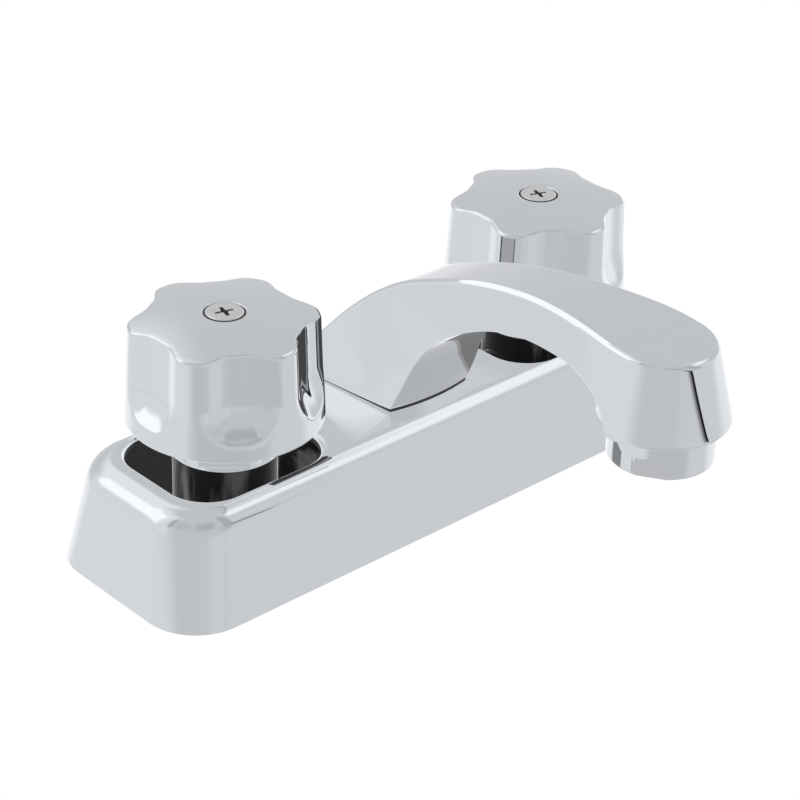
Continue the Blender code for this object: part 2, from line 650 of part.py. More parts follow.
def make_spout(surface):
    spout = add_object("spout", spout_skin(SPOUT_STEPS, NOSE_STEPS, 3), surface)
    join(spout, bow_mesh(), "bow")
    floor = HEAD_BOTTOM_Z + 0.05 * MM       # just inside the underside, so that no faces coincide
    roof = HEAD_BOTTOM_Z + HEAD_BACK_HEIGHT
    head_back = turned([(0.0, floor), (HEAD_BACK_RADIUS - HEAD_LIP * 0.6, floor),
                        (HEAD_BACK_RADIUS, HEAD_BOTTOM_Z + HEAD_LIP),
                        (HEAD_BACK_RADIUS - HEAD_BACK_TAPER, roof), (0.0, roof)], ROUND_SEGMENTS)
    join(spout, head_back, "head_back", (0.0, HEAD_CENTRE_Y, 0.0))
    foot_bore = rod(NIPPLE_RADIUS + CLEAR, SPOUT_BASE_Z - MM, SPOUT_BASE_Z + NIPPLE_DEPTH, ROUND_SEGMENTS)
    cut(spout, foot_bore, "foot_bore")
    cut(spout, channel_mesh(), "channel")
    aerator_bore = rod(AERATOR_BORE, HEAD_BOTTOM_Z - MM, aerator_bore_top(), ROUND_SEGMENTS)
    cut(spout, aerator_bore, "aerator_bore", (0.0, AERATOR_Y, 0.0))
    return spout


def foot_outline(z, inset):
    """The spout foot's outline, drawn in by an inset, with clipped corners."""
    back_y, _, _, front_y, _, _ = spout_rows()[0]
    back = back_y - inset
    front = front_y + inset
    back_half = foot_half_width(back) - inset
    front_half = foot_half_width(front) - inset
    clip = MM
    return [(front_half, front + clip, z), (back_half, back - clip, z), (back_half - clip, back, z),
            (-back_half + clip, back, z), (-back_half, back - clip, z), (-front_half, front + clip, z),
            (-front_half + clip, front, z), (0.0, front - SPOUT_BOW * 0.8, z), (front_half - clip, front, z)]


def make_spout_fixing(surfaces):
    """The gasket under the spout, and the nipple, washer and nut that hold it down."""
    gasket_bottom = BOSS_TOP_Z + CLEAR
    gasket = loft([foot_outline(gasket_bottom, GASKET_INSET),
                   foot_outline(SPOUT_BASE_Z - CLEAR, GASKET_INSET)])
    spout_gasket = add_object("spout_gasket", gasket, surfaces["rubber"])
    hole = rod(NIPPLE_RADIUS + CLEAR, gasket_bottom - MM, SPOUT_BASE_Z + MM, ROUND_SEGMENTS)
    cut(spout_gasket, hole, "nipple_hole")

    washer_top = HUB_BOTTOM_Z - CLEAR
    washer_bottom = washer_top - NIPPLE_WASHER
    nut_top = washer_bottom - CLEAR
    nut_bottom = nut_top - NIPPLE_NUT_HEIGHT
    bore = NIPPLE_RADIUS + CLEAR
    washer = tube(NIPPLE_NUT_FLATS * 0.58, bore, washer_bottom, washer_top, COARSE_SEGMENTS)
    add_object("spout_washer", washer, surfaces["steel"])
    nut = add_object("spout_nut", hexagon(NIPPLE_NUT_FLATS, nut_bottom, nut_top), surfaces["brass"])
    cut(nut, rod(bore, nut_bottom - MM, nut_top + MM, COARSE_SEGMENTS), "thread")

    nipple_top = SPOUT_BASE_Z + NIPPLE_DEPTH - CLEAR
    pipe = tube(NIPPLE_RADIUS, NIPPLE_BORE, nut_bottom, nipple_top, COARSE_SEGMENTS)
    nipple = add_object("spout_nipple", pipe, surfaces["brass"])
    half = NIPPLE_WINDOW / 2.0
    window = box(NIPPLE_RADIUS + MM, NIPPLE_BORE * 0.7, BODY_BAR_Z - half, BODY_BAR_Z + half)
    cut(nipple, window, "window")


def make_aerator(surfaces):
    """The screwed housing with its wrench flats, the insert with its holes and the washer."""
    shoulder = HEAD_BOTTOM_Z - CLEAR
    neck = AERATOR_BORE - CLEAR
    neck_top = shoulder + AERATOR_NECK
    throat = AERATOR_MOUTH - AERATOR_STEP
    profile = [(AERATOR_MOUTH, AERATOR_BOTTOM_Z), (AERATOR_RADIUS - AERATOR_LIP, AERATOR_BOTTOM_Z),
               (AERATOR_RADIUS, AERATOR_BOTTOM_Z + AERATOR_LIP), (AERATOR_RADIUS, shoulder), (neck, shoulder),
               (neck, neck_top), (throat, neck_top), (throat, shoulder), (AERATOR_MOUTH, shoulder)]
    housing = add_object("aerator_housing", turned(profile, FINE_SEGMENTS), surfaces["chrome"])
    housing.location = (0.0, AERATOR_Y, 0.0)
    thick = 5.0 * MM
    for k in (0, 1):
        turn = math.radians(AERATOR_FLAT_TURN + 180.0 * k)
        reach = AERATOR_FLAT + thick
        block = box(thick, AERATOR_RADIUS, AERATOR_BOTTOM_Z - MM, AERATOR_BOTTOM_Z + AERATOR_FLAT_HEIGHT)
        place = (reach * math.cos(turn), AERATOR_Y + reach * math.sin(turn), 0.0)
        cut(housing, block, f"flat_{k}", place, (0.0, 0.0, turn))

    insert_bottom = AERATOR_BOTTOM_Z + MM
    insert_top = shoulder - CLEAR
    plug = rod(AERATOR_MOUTH - CLEAR, insert_bottom, insert_top, ROUND_SEGMENTS)
    insert = add_object("aerator_insert", plug, surfaces["white_plastic"])
    insert.location = (0.0, AERATOR_Y, 0.0)
    places = [(0.0, 0.0)]
    reach = (AERATOR_MOUTH - CLEAR) * INSERT_RING
    for k in range(INSERT_HOLES):
        turn = math.tau * (k + 0.25) / INSERT_HOLES
        places.append((reach * math.cos(turn), reach * math.sin(turn)))
    pins = pins_mesh(places, INSERT_HOLE, insert_bottom - MM, insert_top + MM)
    cut(insert, pins, "holes", (0.0, AERATOR_Y, 0.0))

    washer_bottom = neck_top + CLEAR
    ring = tube(AERATOR_BORE - CLEAR, AERATOR_WASHER_BORE, washer_bottom, washer_bottom + AERATOR_WASHER,
                COARSE_SEGMENTS)
    washer = add_object("aerator_washer", ring, surfaces["rubber"])
    washer.location = (0.0, AERATOR_Y, 0.0)


# Knob

def flute_depth(turn):
    """How far the flutes cut in at an angle from a lobe."""
    wave = sum(size * math.cos(KNOB_LOBES * (n + 1) * turn) for n, size in enumerate(KNOB_FLUTE))
    return max(KNOB_MEAN_DEPTH - wave, 0.0)


def knob_radius(turn, z):
    """The fluted side: a cone, less flutes that run out in round scoops above the rim."""
    share = (z - KNOB_BOTTOM_Z) / (KNOB_TOP_Z - KNOB_DOME - KNOB_BOTTOM_Z)
    cone = KNOB_RIM_RADIUS + (KNOB_TOP_RADIUS - KNOB_RIM_RADIUS) * share
    drop = max(KNOB_SCOOP_Z - z, 0.0)
    if drop >= KNOB_SCOOP:
        return cone
    run_out = KNOB_SCOOP - math.sqrt(KNOB_SCOOP ** 2 - drop ** 2)
    depth = flute_depth(turn) - run_out
    blend = min(KNOB_SCOOP_BLEND, run_out)
    return cone - 0.5 * (depth + math.sqrt(depth * depth + blend * blend))


def dome_z(radius):
    return KNOB_TOP_Z - KNOB_DOME * (radius / KNOB_TOP_RADIUS) ** 2


def knob_mesh():
    """The outside: foot edge, fluted side, rounded top edge and domed top."""
    def ring(radius_at, z_at):
        points = []
        for k in range(KNOB_SEGMENTS):
            turn = math.tau * k / KNOB_SEGMENTS
            radius = radius_at(turn)
            points.append((radius * math.cos(turn), radius * math.sin(turn), z_at(radius)))
        return points

    side_top = KNOB_TOP_Z - KNOB_DOME - KNOB_EDGE
    low = KNOB_BOTTOM_Z + KNOB_FOOT_EDGE
    rings = [ring(lambda turn: KNOB_RIM_RADIUS - KNOB_FOOT_EDGE, lambda r: KNOB_BOTTOM_Z)]
    for level in range(KNOB_LEVELS + 1):
        z = low + (side_top - low) * level / KNOB_LEVELS
        rings.append(ring(lambda turn, z=z: knob_radius(turn, z), lambda r, z=z: z))
    for level in range(1, KNOB_EDGE_LEVELS + 1):
        bend = math.radians(90.0 * level / KNOB_EDGE_LEVELS)
        inset = KNOB_EDGE * (1.0 - math.cos(bend))
        fall = KNOB_EDGE * (1.0 - math.sin(bend))
        rings.append(ring(lambda turn, inset=inset: knob_radius(turn, side_top) - inset,
                          lambda r, fall=fall: dome_z(r) - fall))
    for share in (0.75, 0.45):
        rings.append(ring(lambda turn, share=share: knob_radius(turn, side_top) * share, dome_z))
    return loft(rings)


def make_knob(side, place, turn, surface):
    """The fluted outside, hollowed from below round a splined socket."""
    knob = add_object(f"{side}_knob", knob_mesh(), surface)
    knob.rotation_euler = (0.0, 0.0, turn)
    below = KNOB_BOTTOM_Z - MM
    bore = KNOB_RIM_RADIUS - KNOB_WALL
    skirt_top = KNOB_BOTTOM_Z + KNOB_SKIRT_DEPTH
    core_bottom = skirt_top + 4.0 * MM      # the bore narrows under the flutes over this height
    hollow = turned([(KNOB_SOCKET, below), (bore, below), (bore, skirt_top), (KNOB_CORE_BORE, core_bottom),
                     (KNOB_CORE_BORE, KNOB_CORE_Z), (KNOB_SOCKET, KNOB_CORE_Z)], ROUND_SEGMENTS)
    cut(knob, hollow, "hollow", place)
    socket_face = KNOB_BOTTOM_Z + KNOB_SOCKET_LIFT
    cut(knob, rod(KNOB_SOCKET + MM, below - MM, socket_face, ROUND_SEGMENTS), "socket_face", place)
    angles = SPLINE_TEETH * SPLINE_FACETS
    recess = KNOB_TOP_Z + SCREW_PROUD - SCREW_HEAD_HEIGHT - CLEAR
    splines = loft([spline_ring(angles, CLEAR, KNOB_BOTTOM_Z),
                    spline_ring(angles, CLEAR, STEM_TOP_Z + CLEAR)])
    cut(knob, splines, "splines", place, (0.0, 0.0, turn))
    cut(knob, rod(SCREW_SHANK + CLEAR, STEM_TOP_Z - MM, recess + MM, COARSE_SEGMENTS), "screw_hole", place)
    cut(knob, rod(SCREW_HEAD + CLEAR, recess, KNOB_TOP_Z + MM, ROUND_SEGMENTS), "recess", place)
    return knob


def spline_ring(angles, grow, z):
    """A ring of spline teeth; the socket's ring is grown by its clearance."""
    points = []
    for k in range(angles):
        turn = math.tau * k / angles
        tooth = 0.5 + 0.5 * math.cos(SPLINE_TEETH * turn)
        radius = STEM_RADIUS - SPLINE_DEPTH * (1.0 - tooth) + grow
        points.append((radius * math.cos(turn), radius * math.sin(turn), z))
    return points


# Valve pieces

def stem_mesh():
    """Drive plate, round shaft, splined top and the screw's hole."""
    plate_bottom = disc_levels()["stem_plate"]
    angles = SPLINE_TEETH * SPLINE_FACETS
    spline_start = KNOB_BOTTOM_Z + KNOB_SOCKET_LIFT - SPLINE_RUN_OUT

    def flat(radius, z):
        return [(radius * math.cos(math.tau * k / angles), radius * math.sin(math.tau * k / angles), z)
                for k in range(angles)]

    plate = chamber_radius() - CLEAR
    rings = [flat(plate * 0.3, plate_bottom), flat(plate, plate_bottom),
             flat(plate, plate_bottom + STEM_PLATE),
             flat(STEM_RADIUS, plate_bottom + STEM_PLATE), flat(STEM_RADIUS, spline_start - MM),
             spline_ring(angles, 0.0, spline_start), spline_ring(angles, 0.0, STEM_TOP_Z),
             flat(SCREW_SHANK + CLEAR, STEM_TOP_Z), flat(SCREW_SHANK + CLEAR, SCREW_END_Z - MM)]
    return loft(rings)


def chamber_radius():
    """Inside of the cartridge sleeve."""
    return BODY_BORE - CLEAR - SLEEVE_WALL


def disc_levels():
    """Heights of the stack that the seat carries, up to the roof of the sleeve's chamber."""
    seal = BODY_SEAT_Z + CLEAR
    fixed = seal + SEAL_HEIGHT + CLEAR
    moving = fixed + DISC_HEIGHT + CLEAR
    stem_plate = moving + DISC_HEIGHT + CLEAR
    return {"seal": seal, "fixed_disc": fixed, "moving_disc": moving, "stem_plate": stem_plate,
            "roof": stem_plate + STEM_PLATE + CHAMBER_ROOM}


def sector_mesh(inner, outer, start, sweep, bottom, top):
    """A ring sector, as a cutter for a disc's ports."""
    steps = 3
    outline = []
    for step in range(steps + 1):
        turn = math.radians(start + sweep * step / steps)
        outline.append((outer * math.cos(turn), outer * math.sin(turn)))
    for step in range(steps, -1, -1):
        turn = math.radians(start + sweep * step / steps)
        outline.append((inner * math.cos(turn), inner * math.sin(turn)))
    return loft([[(x, y, z) for x, y in outline] for z in (bottom, top)])


def make_disc(name, radius, bottom, port_turn, surface, place):
    disc = add_object(name, rod(radius, bottom, bottom + DISC_HEIGHT, COARSE_SEGMENTS), surface)
    disc.location = place
    for k in (0, 1):
        start = port_turn + 180.0 * k - DISC_PORT_SWEEP / 2.0
        port = sector_mesh(radius * DISC_PORT[0], radius * DISC_PORT[1], start, DISC_PORT_SWEEP,
                           bottom - MM, bottom + DISC_HEIGHT + MM)
        cut(disc, port, f"port_{k}", place)
    return disc


def sleeve_profile():
    """Chamber for the discs, a groove for the stem's ring and a flange on the barrel's neck."""
    outer = BODY_BORE - CLEAR
    chamber = chamber_radius()
    guide = STEM_RADIUS + CLEAR
    groove = guide + 2.0 * RING_SECTION + CLEAR
    half = RING_SECTION + CLEAR
    bottom = BODY_SEAT_Z + SLEEVE_LIFT
    roof = disc_levels()["roof"]
    ring_z = roof + STEM_RING_LIFT
    flange = BODY_NECK - CLEAR
    flange_bottom = BODY_NECK_Z + CLEAR
    flange_top = flange_bottom + SLEEVE_FLANGE
    return [(chamber, bottom), (outer, bottom), (outer, flange_bottom), (flange, flange_bottom),
            (flange, flange_top), (guide, flange_top), (guide, ring_z + half), (groove, ring_z + half),
            (groove, ring_z - half), (guide, ring_z - half), (guide, roof), (chamber, roof)]


def make_fixed_valve_pieces(side, place, surfaces):
    """The cartridge's still pieces, the nut that holds them and the fixing below."""
    levels = disc_levels()
    fit = chamber_radius() - CLEAR
    seal = add_object(f"{side}_seat_seal", tube(fit, SEAT_HOLE, levels["seal"], levels["seal"] + SEAL_HEIGHT,
                                                COARSE_SEGMENTS), surfaces["rubber"])
    seal.location = place
    make_disc(f"{side}_fixed_disc", fit, levels["fixed_disc"], 0.0, surfaces["ceramic"], place)
    housing = turned(sleeve_profile(), COARSE_SEGMENTS)
    sleeve = add_object(f"{side}_cartridge_sleeve", housing, surfaces["brass"])
    sleeve.location = place
    window = box(BODY_BORE + MM, SLEEVE_WINDOW, levels["moving_disc"], levels["stem_plate"])
    cut(sleeve, window, "window", place)
    ring_z = levels["roof"] + STEM_RING_LIFT
    cord = ring_cord(STEM_RADIUS + CLEAR + RING_SECTION, RING_SECTION, ring_z, COARSE_SEGMENTS)
    ring = add_object(f"{side}_stem_ring", cord, surfaces["rubber"])
    ring.location = place
    make_bonnet_nut(side, place, surfaces["chrome"])
    make_deck_fixing(side, place, surfaces)


def make_bonnet_nut(side, place, surface):
    """A hexagon with its corners turned round, a threaded skirt and a web over the sleeve."""
    bottom = BODY_SHOULDER_Z + CLEAR
    nut = add_object(f"{side}_bonnet_nut", hexagon(NUT_FLATS, bottom, NUT_TOP_Z, NUT_CORNERS), surface)
    nut.location = place
    nut.rotation_euler = (0.0, 0.0, math.radians(NUT_TURN))
    web = NUT_TOP_Z - NUT_WEB
    socket = turned([(0.0, bottom - MM), (BODY_NECK + CLEAR, bottom - MM), (BODY_NECK + CLEAR, web),
                     (STEM_RADIUS + CLEAR, web), (STEM_RADIUS + CLEAR, NUT_TOP_Z + MM),
                     (0.0, NUT_TOP_Z + MM)],
                    ROUND_SEGMENTS)
    cut(nut, socket, "socket", place)


def make_deck_fixing(side, place, surfaces):
    """The washer and lock nut that draw the tap down from below the deck."""
    bore = SHANK_RADIUS + CLEAR
    washer_top = -DECK_THICKNESS
    washer_bottom = washer_top - WASHER_THICKNESS
    ring = tube(WASHER_RADIUS, bore, washer_bottom, washer_top, ROUND_SEGMENTS)
    washer = add_object(f"{side}_mounting_washer", ring, surfaces["steel"])
    washer.location = place
    nut_top = washer_bottom - CLEAR
    nut_bottom = nut_top - LOCK_NUT_HEIGHT
    nut = add_object(f"{side}_mounting_nut", hexagon(LOCK_NUT_FLATS, nut_bottom, nut_top), surfaces["brass"])
    nut.location = place
    cut(nut, rod(bore, nut_bottom - MM, nut_top + MM, ROUND_SEGMENTS), "thread", place)


def screw_mesh():
    """Pan head with a soft edge, and the shank."""
    top = KNOB_TOP_Z + SCREW_PROUD
    under = top - SCREW_HEAD_HEIGHT
    profile = [(0.0, SCREW_END_Z), (SCREW_SHANK, SCREW_END_Z), (SCREW_SHANK, under), (SCREW_HEAD, under),
               (SCREW_HEAD, top - SCREW_HEAD_EDGE), (SCREW_HEAD - SCREW_HEAD_EDGE, top), (0.0, top)]
    return turned(profile, COARSE_SEGMENTS)


def make_moving_valve_pieces(side, place, surfaces):
    """What turns with the knob, carried by an empty on the valve's axis."""
    axis = bpy.data.objects.new(f"{side}_axis", None)
    axis.location = place
    bpy.context.collection.objects.link(axis)
    turn = math.radians(KNOB_TURN[side])
    knob = make_knob(side, place, turn, surfaces["chrome"])
    stem = add_object(f"{side}_stem", stem_mesh(), surfaces["brass"])
    stem.rotation_euler = (0.0, 0.0, turn)
    screw = add_object(f"{side}_handle_screw", screw_mesh(), surfaces["steel"])
    screw.rotation_euler = (0.0, 0.0, turn)
    for piece in (knob, stem, screw):
        piece.parent = axis
    top = KNOB_TOP_Z + SCREW_PROUD
    for k in (0, 1):
        floor = top - CROSS_DEPTH * (1.0 - 0.1 * k)     # one slot is shallower, so no faces coincide
        arm = box(CROSS_LENGTH / 2.0, CROSS_WIDTH / 2.0, floor, top + MM)
        cut(screw, arm, f"cross_{k}", place, (0.0, 0.0, turn + math.pi / 2.0 * k))
    disc = make_disc(f"{side}_moving_disc", chamber_radius() - CLEAR, disc_levels()["moving_disc"], 90.0,
                     surfaces["ceramic"], place)
    disc.parent = axis
    disc.matrix_parent_inverse = Matrix.Translation(place).inverted()


def build():
    for old in list(bpy.data.objects):
        bpy.data.objects.remove(old)
    surfaces = make_materials()
    make_cover(surfaces["chrome"])
    make_base_plate(surfaces["black_plastic"])
    make_underbody(surfaces["black_plastic"])
    make_spout(surfaces["chrome"])
    make_spout_fixing(surfaces)
    make_aerator(surfaces)
    for side, sign in (("hot", -1), ("cold", 1)):
        place = (sign * VALVE_X, 0.0, 0.0)
        make_fixed_valve_pieces(side, place, surfaces)
        make_moving_valve_pieces(side, place, surfaces)


build()
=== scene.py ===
"""The looks of a basin mixer tap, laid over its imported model."""

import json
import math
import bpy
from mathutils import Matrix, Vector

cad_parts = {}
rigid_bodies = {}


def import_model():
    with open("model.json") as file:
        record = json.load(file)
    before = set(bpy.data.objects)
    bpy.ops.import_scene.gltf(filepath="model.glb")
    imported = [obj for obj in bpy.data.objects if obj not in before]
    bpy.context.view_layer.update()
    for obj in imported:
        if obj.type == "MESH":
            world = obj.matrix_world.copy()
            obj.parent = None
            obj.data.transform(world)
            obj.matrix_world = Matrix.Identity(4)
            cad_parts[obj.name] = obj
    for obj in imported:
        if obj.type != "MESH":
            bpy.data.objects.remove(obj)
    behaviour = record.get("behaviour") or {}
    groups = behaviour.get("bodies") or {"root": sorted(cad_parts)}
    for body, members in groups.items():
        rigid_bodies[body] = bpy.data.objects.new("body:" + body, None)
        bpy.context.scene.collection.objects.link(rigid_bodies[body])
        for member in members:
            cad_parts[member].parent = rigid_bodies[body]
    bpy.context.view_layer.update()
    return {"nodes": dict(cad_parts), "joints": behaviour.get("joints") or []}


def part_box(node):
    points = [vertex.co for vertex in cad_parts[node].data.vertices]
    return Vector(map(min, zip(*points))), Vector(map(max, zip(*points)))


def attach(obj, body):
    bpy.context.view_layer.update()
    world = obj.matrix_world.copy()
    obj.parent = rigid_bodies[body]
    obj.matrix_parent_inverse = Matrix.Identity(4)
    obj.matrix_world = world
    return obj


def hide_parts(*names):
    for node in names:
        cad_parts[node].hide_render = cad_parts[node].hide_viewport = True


bl_info = {
    "name": "Basin mixer tap",
    "version": (1, 0, 0),
    "blender": (4, 5, 0),
    "location": "3D View > Sidebar > Tap",
    "description": "Builds the finished pieces of a two-knob basin mixer tap over its packed model",
    "category": "Object",
}

import bmesh
import bpy
from bpy.props import FloatProperty, FloatVectorProperty, IntProperty, PointerProperty
from mathutils import Matrix, Vector

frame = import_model()

MM = 0.001
SIDES = ("hot", "cold")
CLEAR = 0.3 * MM                # gap between pieces that seat on or slide in each other
NEVER_COINCIDE = 0.02 * MM      # keeps the faces of two forms that are joined or cut apart
NEEDLE = 0.00001 * MM           # radius of a ring that closes to a point on the axis


def axis_of(side):
    """The X of a valve's axis, from its joint."""
    return next(joint["pos_m"][0] for joint in frame["joints"] if joint["name"] == f"{side}_turn")


COVER_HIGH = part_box("cover")[1]
KNOB_LOW, KNOB_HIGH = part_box("cold_knob")
SPOUT_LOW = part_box("spout")[0]
OUTLET_LOW, OUTLET_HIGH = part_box("aerator_housing")
OUTLET = (OUTLET_LOW + OUTLET_HIGH) / 2.0
NUT_LOW, NUT_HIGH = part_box("cold_bonnet_nut")
SCREW_LOW, SCREW_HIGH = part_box("cold_handle_screw")
WATERWAY_LOW, WATERWAY_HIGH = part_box("underbody")


# Sizes and colours

def length(name, value, description):
    """A size that can't be negative."""
    return FloatProperty(name=name, description=description, default=value, min=0.0, unit="LENGTH",
                         subtype="DISTANCE", precision=5)


def coordinate(name, value, description):
    """A place or a swing to either side, which may be negative."""
    return FloatProperty(name=name, description=description, default=value, unit="LENGTH",
                         subtype="DISTANCE", precision=5)


def count(name, value, description):
    """A whole number of three or more."""
    return IntProperty(name=name, description=description, default=value, min=3)


def angle(name, degrees, description):
    """An angle, given in degrees."""
    return FloatProperty(name=name, description=description, default=math.radians(degrees), subtype="ANGLE",
                         unit="ROTATION")


def colour(name, value, description):
    """Red, green and blue, each from 0 to 1."""
    return FloatVectorProperty(name=name, description=description, default=value, size=3, min=0.0, max=1.0,
                               subtype="COLOR")


def share(name, value, description):
    """A number from 0 to 1."""
    return FloatProperty(name=name, description=description, default=value, min=0.0, max=1.0,
                         subtype="FACTOR")


class CoverSizes(bpy.types.PropertyGroup):
    """The boxy cover with its two wells and the boss under the spout."""
    rise: length("Boss rise", 2.5 * MM, "Height of the boss over the roof")
    lean_x: length("End lean", 4.0 * MM, "How far the ends lean in over the height")
    lean_y: length("Front lean", 5.4 * MM, "How far the front and back lean in over the height")
    corner: length("Corner", 14.0 * MM, "Radius of the upright corners")
    edge: length("Top edge", 5.0 * MM, "Radius of the soft top edge")
    wall: length("Wall", 2.2 * MM, "Thickness of the sides")
    roof: length("Roof", 2.5 * MM, "Thickness of the roof")
    well_shift: length("Well shift", 0.6 * MM, "How far the wells lie outboard of the valves")
    well_length: length("Well length", 41.8 * MM, "Length of a well")
    well_depth: length("Well depth", 35.2 * MM, "Width of a well from front to back")
    well_corner: length("Well corner", 10.5 * MM, "Corner radius of a well")
    lip: length("Lip", 1.2 * MM, "Radius of the wells' rolled lip")
    skirt_front: length("Flank at the front", 14.2 * MM, "Width of the boss's flank at the front")
    skirt_back: length("Flank at the back", 6.0 * MM, "Width of the boss's flank at the back")
    margin: length("Boss margin", 0.3 * MM, "How far the boss stands out round the spout's foot")
    lean: length("Boss lean", 1.6 * MM, "How far the foot of the boss's front wall stands forward")
    shoulder: length("Boss shoulder", 1.9 * MM, "Width of the finely divided top of the boss's flank")


class SpoutSizes(bpy.types.PropertyGroup):
    """The arched spout."""
    bow: length("Bow", 1.4 * MM, "How far the foot's front bows out")
    edge: length("Top edge", 1.1 * MM, "Set-back of the rounded edge along the top")
    low_edge: length("Lower edge", 0.35 * MM, "Set-back of the edge under the arch")
    lip: length("Head lip", 1.3 * MM, "Set-back of the edge round the foot of the head")
    head_y: coordinate("Head centre", -86.3 * MM, "Y of the middle of the rounded head")
    head_top: length("Head top radius", 12.1 * MM, "Radius of the head at its top")
    head_low: length("Head low radius", 16.8 * MM, "Radius of the head at its foot")
    head_fall: length("Head fall", 0.8 * MM, "How much lower the tip is than the middle of the head")
    head_top_z: length("Head top", SPOUT_LOW.z + 44.0 * MM, "Height of the middle of the head's top")
    head_low_z: length("Head foot", SPOUT_LOW.z + 25.0 * MM, "Height of the head's underside")
    back_radius: length("Outlet wall", 13.4 * MM, "Radius of the round wall behind the outlet")
    back_height: length("Outlet wall height", 13.0 * MM, "Height of the round wall behind the outlet")
    outlet_bore: length("Outlet bore", 10.2 * MM, "Radius of the bore that the aerator screws into")
    foot_bore: length("Foot bore", 6.3 * MM, "Radius of the bore for the threaded tube")
    foot_drop: length("Foot drop", 0.15 * MM, "How much the foot's front closes the gap over the boss")
    foot_lean: length("Foot lean", 0.8 * MM, "How much lower the foot's back edge is than its front")
    gasket: share("Gasket size", 0.985, "Size of the seal under the foot, beside the foot's own")
    gasket_bore: length("Gasket bore", 6.5 * MM, "Radius of the hole in the seal under the foot")


class KnobSizes(bpy.types.PropertyGroup):
    """The fluted knobs."""
    rim: length("Rim radius", 23.35 * MM, "Radius of the plain rim at the foot")
    top: length("Top radius", 22.2 * MM, "Radius at the top, outside the flutes")
    dome: length("Dome", 2.1 * MM, "Fall of the top from its middle to its edge")
    edge: length("Edge", 0.75 * MM, "Radius of the top edge")
    foot_edge: length("Foot edge", 0.8 * MM, "Radius of the foot's edge")
    lobes: count("Lobes", 6, "Number of lobes")
    mean_depth: length("Mean depth", 2.0 * MM, "Mean depth of the flutes")
    wave_1: coordinate("Wave 1", 2.2 * MM, "First harmonic of the flutes")
    wave_2: coordinate("Wave 2", 0.3 * MM, "Second harmonic of the flutes")
    wave_3: coordinate("Wave 3", -0.1 * MM, "Third harmonic of the flutes")
    scoop: length("Scoop", 11.0 * MM, "Radius of the flutes' run-out")
    scoop_lift: length("Scoop lift", 12.7 * MM, "Height of the scoop's centre over the foot")
    blend: length("Blend", 0.28 * MM, "Softness of the flutes' rims")
    wall: length("Wall", 2.75 * MM, "Thickness of the skirt")
    skirt: length("Skirt", 4.0 * MM, "Depth of the skirt's bore")
    core: length("Core bore", 15.6 * MM, "Radius of the hollow inside the flutes")
    roof: length("Roof", 8.7 * MM, "Depth of the hollow's roof under the knob's top")
    socket: length("Socket", 8.0 * MM, "Outer radius of the splined socket")
    socket_lift: length("Socket lift", 1.8 * MM, "Height of the socket's foot over the knob's foot")
    bore: length("Socket bore", 5.3 * MM, "Radius of the socket's bore")
    hole: length("Screw hole", 2.3 * MM, "Radius of the hole for the screw")
    recess: length("Recess", 5.0 * MM, "Radius of the recess for the screw's head")
    recess_depth: length("Recess depth", 1.8 * MM, "Depth of the recess's floor under the screw's top")
    recess_edge: length("Recess edge", 0.24 * MM, "Width of the recess's broken edge")
    hot_turn: angle("Hot turn", 30.5, "Clocking of the hot knob on its splines")
    cold_turn: angle("Cold turn", 26.3, "Clocking of the cold knob on its splines")
    segments: count("Segments", 288, "Facets round the knob")


class ScrewSizes(bpy.types.PropertyGroup):
    """The cross-head screws on the knobs."""
    head: length("Head radius", 4.5 * MM, "Radius of the head")
    sink: length("Sink", 0.35 * MM, "How far the head lies below the middle of the knob")
    head_height: length("Head height", 1.5 * MM, "Height of the head")
    shank: length("Shank radius", 2.0 * MM, "Radius of the shank")
    cross: length("Cross length", 4.9 * MM, "Length of the cross recess over its arms")
    cross_width: length("Cross width", 1.25 * MM, "Width of an arm")
    cross_depth: length("Cross depth", 1.4 * MM, "Depth of the recess")


class OutletSizes(bpy.types.PropertyGroup):
    """The aerator."""
    radius: length("Radius", 12.0 * MM, "Outer radius of the housing")
    mouth: length("Mouth", 8.9 * MM, "Inner radius of the housing")
    neck: length("Neck", 9.9 * MM, "Outer radius of the screwed neck")
    flat: length("Flat", 11.1 * MM, "Distance of a wrench flat from the axis")
    flat_height: length("Flat height", 3.4 * MM, "Height of the wrench flats")
    flat_turn: angle("Flat turn", 33.0, "Direction of the wrench flats")
    cell: length("Cell", 1.45 * MM, "Distance between the holes of the insert")


class NutSizes(bpy.types.PropertyGroup):
    """The bonnet nuts, and the nuts and washers that hold the tap down."""
    flats: length("Across flats", 24.8 * MM, "Width across the bonnet nut's flats")
    corners: length("Corner radius", 13.6 * MM, "Radius of the bonnet nut's turned corners")
    collar: length("Collar", 1.0 * MM, "Height of the round collar under the hexagon")
    bevel: length("Bevel", 1.2 * MM, "Height of the bonnet nut's turned-down corners")
    web: length("Web", 1.7 * MM, "Thickness of the bonnet nut's top")
    bore: length("Bore", 11.0 * MM, "Radius of the bonnet nut's bore")
    stem_hole: length("Stem hole", 5.3 * MM, "Radius of the hole for the stem")
    turn: angle("Turn", -130.5, "Direction that one flat of a bonnet nut faces")
    lock_flats: length("Lock nut flats", 32.0 * MM, "Width across the lock nut's flats")
    lock_bore: length("Lock nut bore", 10.5 * MM, "Radius of the hole in the lock nuts and washers")


